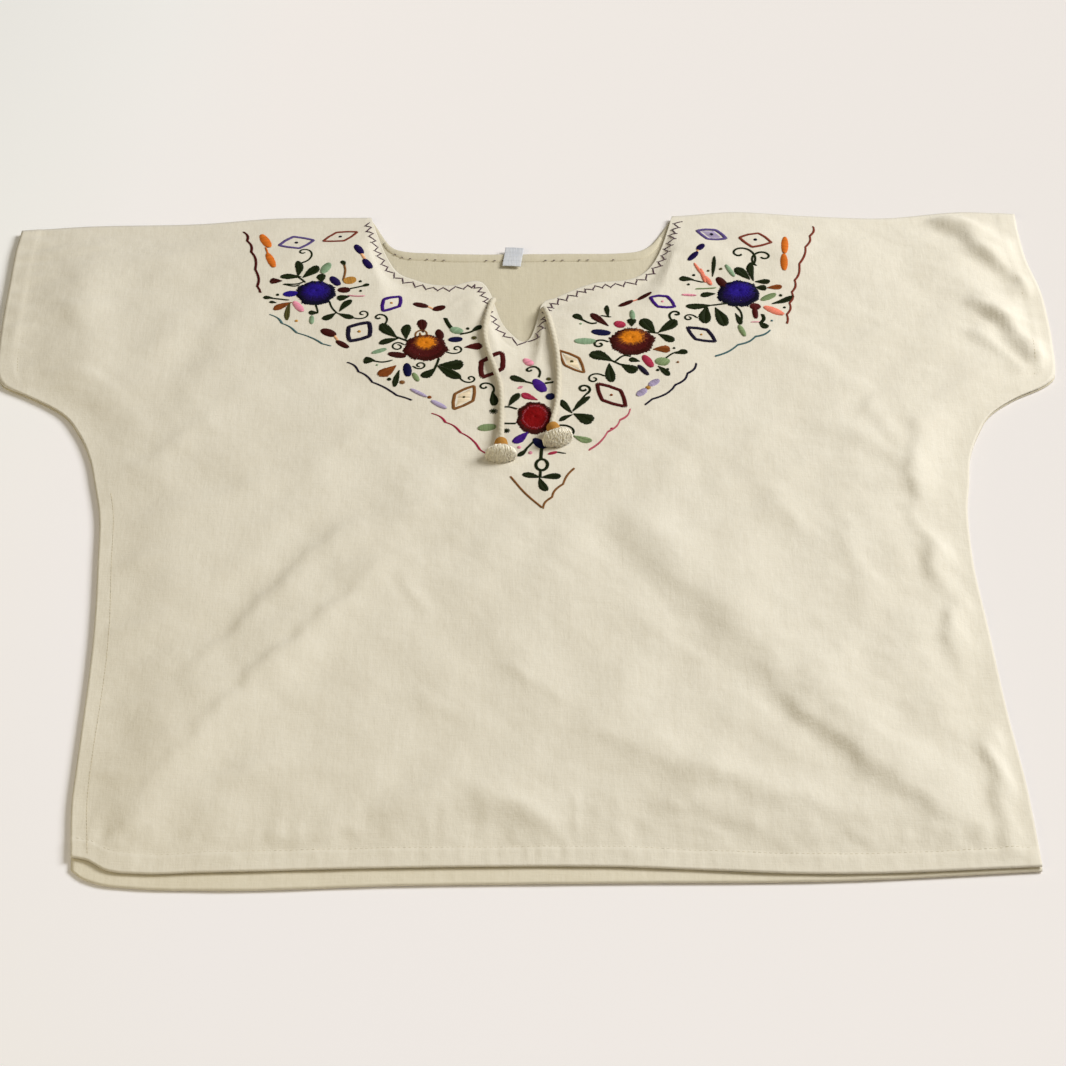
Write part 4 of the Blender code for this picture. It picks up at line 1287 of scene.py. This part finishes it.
ride_piece(strand_mesh("neck_zigzag", np.concatenate(zigzag)), "front_cotton")


def running_stitches(points, long, pitch, colour="sewing", width=0.55):
    """Short stitches in a row along a line of points."""
    points = np.asarray(points, float)
    along = np.append(0, np.cumsum(np.linalg.norm(np.diff(points, axis=0), axis=1)))
    start = np.arange(0, along[-1] - long, pitch)
    ends = [np.stack([np.interp(at, along, points[:, k]) for k in range(2)], -1) for at in (start, start + long)]
    return stitch_row(ends[0], ends[1], colour, width, 0.12)


hem_x = np.linspace(-284, 322, 300)
hem = running_stitches(np.stack([hem_x, curve_through(FRONT_HEM)(hem_x) + HEM_LINE], -1), 2.2, 3.4)
cuff_y = np.linspace(150, 320, 80)
left_cuff = running_stitches(np.stack([left_edge(cuff_y) + CUFF_LINE, cuff_y], -1), 2.2, 3.4)
right_cuff = running_stitches(np.stack([right_edge(cuff_y) - CUFF_LINE, cuff_y], -1), 2.2, 3.4)
side_y = np.linspace(-318, 20, 200)
side = running_stitches(np.stack([left_edge(side_y) + 10 + 0.5 * np.sin(side_y / 30), side_y], -1), 2.6, 3.0)
ride_piece(strand_mesh("hem_stitches", np.concatenate([hem, left_cuff, right_cuff, side])), "front_cotton")
facing_line = inner_line(back_edge, FACING_INSET + 0.86 * facing_wide)[8:-8]
facing_rows = running_stitches(facing_line, 1.7, 6.5, "zigzag", 0.85)
facing_rows = facing_rows[rng.random(len(facing_rows)) < 0.55]
facing_top = lambda x, y: np.full(np.shape(x), WALL + SEAM_GAP + FACING_WALL + 0.05)
ride_piece(strand_mesh("facing_stitches", facing_rows, facing_top), "back_cotton")

# %% [markdown]
# The ties are three-ply cotton cords. A tube whose section has three soft lobes, turned along its
# route, catches light like laid strands, and its ring centres are the path that measures the cord.

# %% Tie cords
CORD_DIAMETER = 4.4
CORD_CLEAR = 0.7
CORD_RISE_OVER = 30.0
TASSEL_LIFT = 6.2
TASSEL_REACH = 15.0
LEFT_CORD = ((-24, 238), (-28, 214), (-30, 190), (-27, 168), (-22, 148), (-18, 128), (-17, 100), (-17, 66.2))
RIGHT_CORD = ((14, 227), (19, 200), (22, 180), (24, 160), (24.5, 136), (23, 108), (19.4, 83.4))
LEFT_TASSEL = ((-17, 65.5), 0.0)
RIGHT_TASSEL = ((19.2, 82.0), 0.35)
PLY_PITCH = 15.0


def smooth_route(points, count):
    points = np.array(points, float)
    along = np.append(0, np.cumsum(np.linalg.norm(np.diff(points, axis=0), axis=1)))
    at = np.linspace(0, along[-1], count)
    return np.stack([curve_through(list(zip(along, points[:, k])))(at) for k in range(2)], axis=1)


def tassel_height(at, heading):
    steps = np.linspace(0, TASSEL_REACH, 4)
    return float(np.max(front_form(at[0] + steps * sin(heading), at[1] - steps * cos(heading)))) + TASSEL_LIFT - 0.8


def cord_route(route, tassel, count=260):
    """The cord's ring centres: resting on the cloth, dipping at the neck edge, rising to the tassel."""
    plan = smooth_route(route, count)
    high = front_form(plan[:, 0], plan[:, 1]) + CORD_DIAMETER / 2 + CORD_CLEAR * 0.6
    near = np.clip(1 - np.hypot(*(plan - plan[-1]).T) / CORD_RISE_OVER, 0, 1)
    blend = near * near * (3 - 2 * near)
    high = high * (1 - blend) + tassel_height(*tassel) * blend
    first = np.clip(1 - np.arange(count) / (count * 0.07), 0, 1)
    return np.column_stack([plan, high - 3.2 * first**2])


def laid_cord(name, path, material):
    """A tube of three soft plies swept along the path."""
    heading = np.gradient(path, axis=0)
    heading /= np.linalg.norm(heading, axis=1)[:, None]
    side = np.cross(heading, (0, 0, 1.0))
    side /= np.linalg.norm(side, axis=1)[:, None]
    up = np.cross(side, heading)
    along = np.append(0, np.cumsum(np.linalg.norm(np.diff(path, axis=0), axis=1)))
    turn = np.linspace(0, 2 * pi, 24, endpoint=False)
    ply = np.abs(np.cos(1.5 * (turn[None, :] - along[:, None] / PLY_PITCH * 2 * pi)))
    radius = CORD_DIAMETER / 2 * (0.86 + 0.15 * ply**0.6)
    ring = path[:, None] + radius[..., None] * (
        np.cos(turn)[None, :, None] * side[:, None] + np.sin(turn)[None, :, None] * up[:, None]
    )
    rows, sides = radius.shape
    bm = bmesh.new()
    verts = [[bm.verts.new(p * MM) for p in r] for r in ring]
    for a, b in zip(verts, verts[1:]):
        for k in range(sides):
            bm.faces.new((a[k], a[(k + 1) % sides], b[(k + 1) % sides], b[k]))
    bm.faces.new(verts[0])
    bm.faces.new(list(reversed(verts[-1])))
    bmesh.ops.recalc_face_normals(bm, faces=bm.faces)
    if bm.calc_volume(signed=True) < 0:
        bmesh.ops.reverse_faces(bm, faces=bm.faces)
    mesh = bpy.data.meshes.new(name)
    bm.to_mesh(mesh)
    bm.free()
    obj = bpy.data.objects.new(name, mesh)
    bpy.context.scene.collection.objects.link(obj)
    mesh.materials.append(material)
    print(name, "length mm", round(float(along[-1]), 1))
    return smooth(obj), float(along[-1])


for side, route, tassel in (("left", LEFT_CORD, LEFT_TASSEL), ("right", RIGHT_CORD, RIGHT_TASSEL)):
    path = cord_route(route, tassel)
    cord, long = laid_cord(f"laid_cord_{side}", path, cord_cotton)
    ride_piece(cord, "cord_cotton", f"tie_cord_{side}")

# %% [markdown]
# A tassel is a bundle of yarns folded over, wrapped at its neck and fanned out by its own weight. Each
# yarn starts inside the wrap, curves out and down to the cloth, and ends at its own length. The wrap is
# ochre thread wound round the neck.

# %% Tassels
NECK_LONG = 7.4
YARN = 0.30


def yarn_tassel(name, at, heading, spread, long, count):
    """Yarns fanned from a wrapped neck. Local -Y is the way the tassel points."""
    height = tassel_height(at, heading)
    floor = height - TASSEL_LIFT
    turn = rng.uniform(0, 2 * pi, count)
    share = np.sqrt(rng.uniform(0, 1, count))
    reach = long * rng.uniform(0.78, 1.12, count)
    steps = np.linspace(0, 1, 6)
    swell = np.array((0.34, 0.58, 0.86, 1.02, 1.06, 1.04))
    forward = np.array((0.0, 0.16, 0.38, 0.62, 0.84, 1.0))
    wide = spread * share[:, None] * swell
    x = np.cos(turn)[:, None] * wide * 1.08 + rng.normal(0, 0.5, (count, 1)) * steps + rng.normal(0, 0.05, (count, 6))
    z = np.sin(turn)[:, None] * wide * 0.72 - 2.2 * steps**2
    y = -NECK_LONG + 0.6 - reach[:, None] * forward * (1.05 - 0.35 * share[:, None] ** 2)
    centre = np.stack([x, y, z], -1)
    centre[..., 2] = np.maximum(centre[..., 2], 0.7 - TASSEL_LIFT + 0.9 * rng.random((count, 1)))
    sides = np.array((0.3, 2.4, 4.5))
    thick = YARN * np.array((1, 1, 1, 1, 0.95, 0.6))
    ring = np.stack([np.cos(sides), 0 * sides, np.sin(sides)], -1)
    points = centre[:, :, None] + ring[None, None] * thick[None, :, None, None]
    first = np.arange(count)[:, None, None] * 18
    i, k = np.arange(5)[:, None] * 3, np.arange(3)[None, :]
    a, b = first + (i + k)[None], first + (i + (k + 1) % 3)[None]
    faces = np.stack([a, b, b + 3, a + 3], -1).reshape(-1, 4)
    tone = np.array((0.96, 0.905, 0.765)) * (1 + rng.normal(0, 0.025, (count, 1)))
    shade = np.repeat(tone, 18, axis=0)
    u, v = np.meshgrid(np.linspace(0, 1, 12), np.linspace(0, 2 * pi, 28, endpoint=False), indexing="ij")
    body = spread * 0.86 * np.interp(u, steps, swell) * np.sqrt(np.clip(1 - np.clip(u * 1.6 - 0.6, 0, 1) ** 4, 0.003, 1))
    core = np.stack([body * np.cos(v), 0.4 - NECK_LONG - long * 0.6 * u, body * 0.68 * np.sin(v) - 2.2 * u**2], -1)
    core[..., 2] = np.maximum(core[..., 2], 0.9 - TASSEL_LIFT)
    base = points.reshape(-1, 3).shape[0]
    i, k = np.arange(11)[:, None] * 28, np.arange(28)[None]
    a, b = base + i + k, base + i + (k + 1) % 28
    faces = np.concatenate([faces, np.stack([a, b, b + 28, a + 28], -1).reshape(-1, 4)])
    points = np.concatenate([points.reshape(-1, 3), core.reshape(-1, 3)])
    shade = np.concatenate([shade, np.tile((0.93, 0.87, 0.72), (336, 1))])
    wraps, around = 13, 22
    t = np.linspace(0, wraps * 2 * pi, wraps * around)
    lean = t / t[-1]
    radius = 3.9 + 0.6 * np.sin(lean * pi)
    wound = np.stack([np.cos(t) * radius, -0.4 - lean * NECK_LONG, np.sin(t) * radius], -1)
    tube = np.linspace(0, 2 * pi, 5, endpoint=False)
    out = wound * (1, 0, 1)
    out /= np.linalg.norm(out, axis=1)[:, None]
    wrap = wound[:, None] + 0.42 * (np.cos(tube)[None, :, None] * out[:, None] + np.sin(tube)[None, :, None] * np.array((0, 1.0, 0)))
    base = len(points)
    n = len(t)
    a = base + np.arange(n - 1)[:, None] * 5 + np.arange(5)[None]
    b = base + np.arange(n - 1)[:, None] * 5 + (np.arange(5)[None] + 1) % 5
    faces = np.concatenate([faces, np.stack([a, a + 5, b + 5, b], -1).reshape(-1, 4)])
    every = np.concatenate([points, wrap.reshape(-1, 3)])
    gold = np.array((0.47, 0.235, 0.055)) * (1 + rng.normal(0, 0.05, (n * 5, 1)))
    shade = np.concatenate([shade, gold])
    flat = every.copy()
    every[:, 0] = flat[:, 0] * cos(heading) - flat[:, 1] * sin(heading) + at[0]
    every[:, 1] = flat[:, 0] * sin(heading) + flat[:, 1] * cos(heading) + at[1]
    every[:, 2] = flat[:, 2] + height
    ground = front_form(every[:, 0], every[:, 1]) + 0.45
    every[:, 2] = np.maximum(every[:, 2], ground)
    mesh = bpy.data.meshes.new(name)
    mesh.vertices.add(len(every))
    mesh.vertices.foreach_set("co", (every * MM).astype(np.float32).ravel())
    mesh.loops.add(faces.size)
    mesh.loops.foreach_set("vertex_index", faces.ravel().astype(np.int32))
    mesh.polygons.add(len(faces))
    mesh.polygons.foreach_set("loop_start", np.arange(0, faces.size, 4, dtype=np.int32))
    mesh.update(calc_edges=True)
    layer = mesh.color_attributes.new("thread", "FLOAT_COLOR", "POINT")
    layer.data.foreach_set("color", np.concatenate([np.clip(shade, 0, 1), np.ones((len(shade), 1))], 1).astype(np.float32).ravel())
    bm = bmesh.new()
    bm.from_mesh(mesh)
    bmesh.ops.holes_fill(bm, edges=bm.edges, sides=6)
    bmesh.ops.recalc_face_normals(bm, faces=bm.faces)
    bm.to_mesh(mesh)
    bm.free()
    obj = bpy.data.objects.new(name, mesh)
    bpy.context.scene.collection.objects.link(obj)
    mesh.materials.append(yarn)
    print(name, "yarns", count, "triangles", 2 * len(faces))
    return smooth(obj)


tassels = {
    "left": yarn_tassel("yarn_tassel_left", *LEFT_TASSEL, 9.6, 10.8, 2400),
    "right": yarn_tassel("yarn_tassel_right", *RIGHT_TASSEL, 9.6, 10.8, 2400),
}
for side, tassel in tassels.items():
    ride_piece(tassel, "tassel_yarn", f"tassel_{side}")

# %% [markdown]
# The picture looks down at 43 degrees from the hem side through a long lens. The light is soft and comes
# from the right and a little from behind, so creases shade to the left, with a weak warm light from the
# left. The photo's ground is one even tone, so the floor's paint is darker where more light falls.

# %% Floor, light and camera
KEY = ((2.5, 0.95, 2.0), 122, (1.0, 0.998, 0.985))
FILL = ((-1.2, -1.0, 1.1), 8.2, (1.0, 0.85, 0.50))
ROOM = (1.0, 0.955, 0.88)
ROOM_STRENGTH = 0.23
FLOOR_SEEN = (0.912, 0.857, 0.804)
FLOOR_HALF = 6
FLOOR_CELLS = 120


def light_on_floor(spots):
    """What an even white floor would send back from each spot, in each colour."""
    total = np.full((len(spots), 3), ROOM) * ROOM_STRENGTH
    for place, power, colour in (KEY, FILL):
        lamp = np.array(place)
        ray = spots - lamp
        far = np.linalg.norm(ray, axis=1)
        leaving = np.clip(-(ray @ lamp) / (far * np.linalg.norm(lamp)), 0, 1)
        arriving = lamp[2] / far
        total += (power / pi**2 * leaving * arriving / far**2)[:, None] * np.array(colour)
    return total


floor_mesh = bpy.data.meshes.new("floor")
bm = bmesh.new()
bmesh.ops.create_grid(bm, x_segments=FLOOR_CELLS, y_segments=FLOOR_CELLS, size=FLOOR_HALF)
bmesh.ops.translate(bm, verts=bm.verts, vec=(0, 0, -0.0002))
bm.to_mesh(floor_mesh)
bm.free()
floor = bpy.data.objects.new("floor", floor_mesh)
bpy.context.scene.collection.objects.link(floor)
spots = np.array([v.co for v in floor_mesh.vertices])
paint = np.clip(np.array(FLOOR_SEEN) / light_on_floor(spots), 0.2, 0.98)
tone_layer = floor_mesh.color_attributes.new("tone", "FLOAT_COLOR", "POINT")
tone_layer.data.foreach_set("color", np.c_[paint, np.ones(len(paint))].astype(np.float32).ravel())
floor_paint, floor_tree, floor_shader = plain("floor_paint", (0.8, 0.8, 0.8), 0.95)
floor_tone = node(floor_tree, "ShaderNodeAttribute")
floor_tone.attribute_name = "tone"
floor_tree.links.new(floor_tone.outputs["Color"], floor_shader.inputs["Base Color"])
floor_mesh.materials.append(floor_paint)


def soft_light(name, size, place, power, colour):
    data = bpy.data.lights.new(name, "AREA")
    data.size = size
    data.energy = power
    data.color = colour
    lamp = bpy.data.objects.new(name, data)
    lamp.location = place
    lamp.rotation_euler = Vector(place).to_track_quat("Z", "Y").to_euler()
    bpy.context.scene.collection.objects.link(lamp)
    return lamp


key = soft_light("key", 1.5, *KEY)
fill = soft_light("fill", 1.2, *FILL)
world = bpy.data.worlds.new("room")
world.use_nodes = True
world.node_tree.nodes["Background"].inputs["Color"].default_value = (*ROOM, 1)
world.node_tree.nodes["Background"].inputs["Strength"].default_value = ROOM_STRENGTH
scene = bpy.context.scene
scene.world = world
scene.view_settings.view_transform = "Standard"
scene.view_settings.look = "None"
scene.view_settings.exposure = 0.0
TILT = radians(43)
lens = bpy.data.cameras.new("camera")
lens.lens = 109.84
lens.sensor_width = 36
camera = bpy.data.objects.new("camera", lens)
camera.location = Vector((0.0058, -0.017, 0.0)) + 2.274 * Vector((0, -cos(TILT), sin(TILT)))
camera.rotation_euler = (pi / 2 - TILT, 0, 0)
scene.collection.objects.link(camera)
scene.camera = camera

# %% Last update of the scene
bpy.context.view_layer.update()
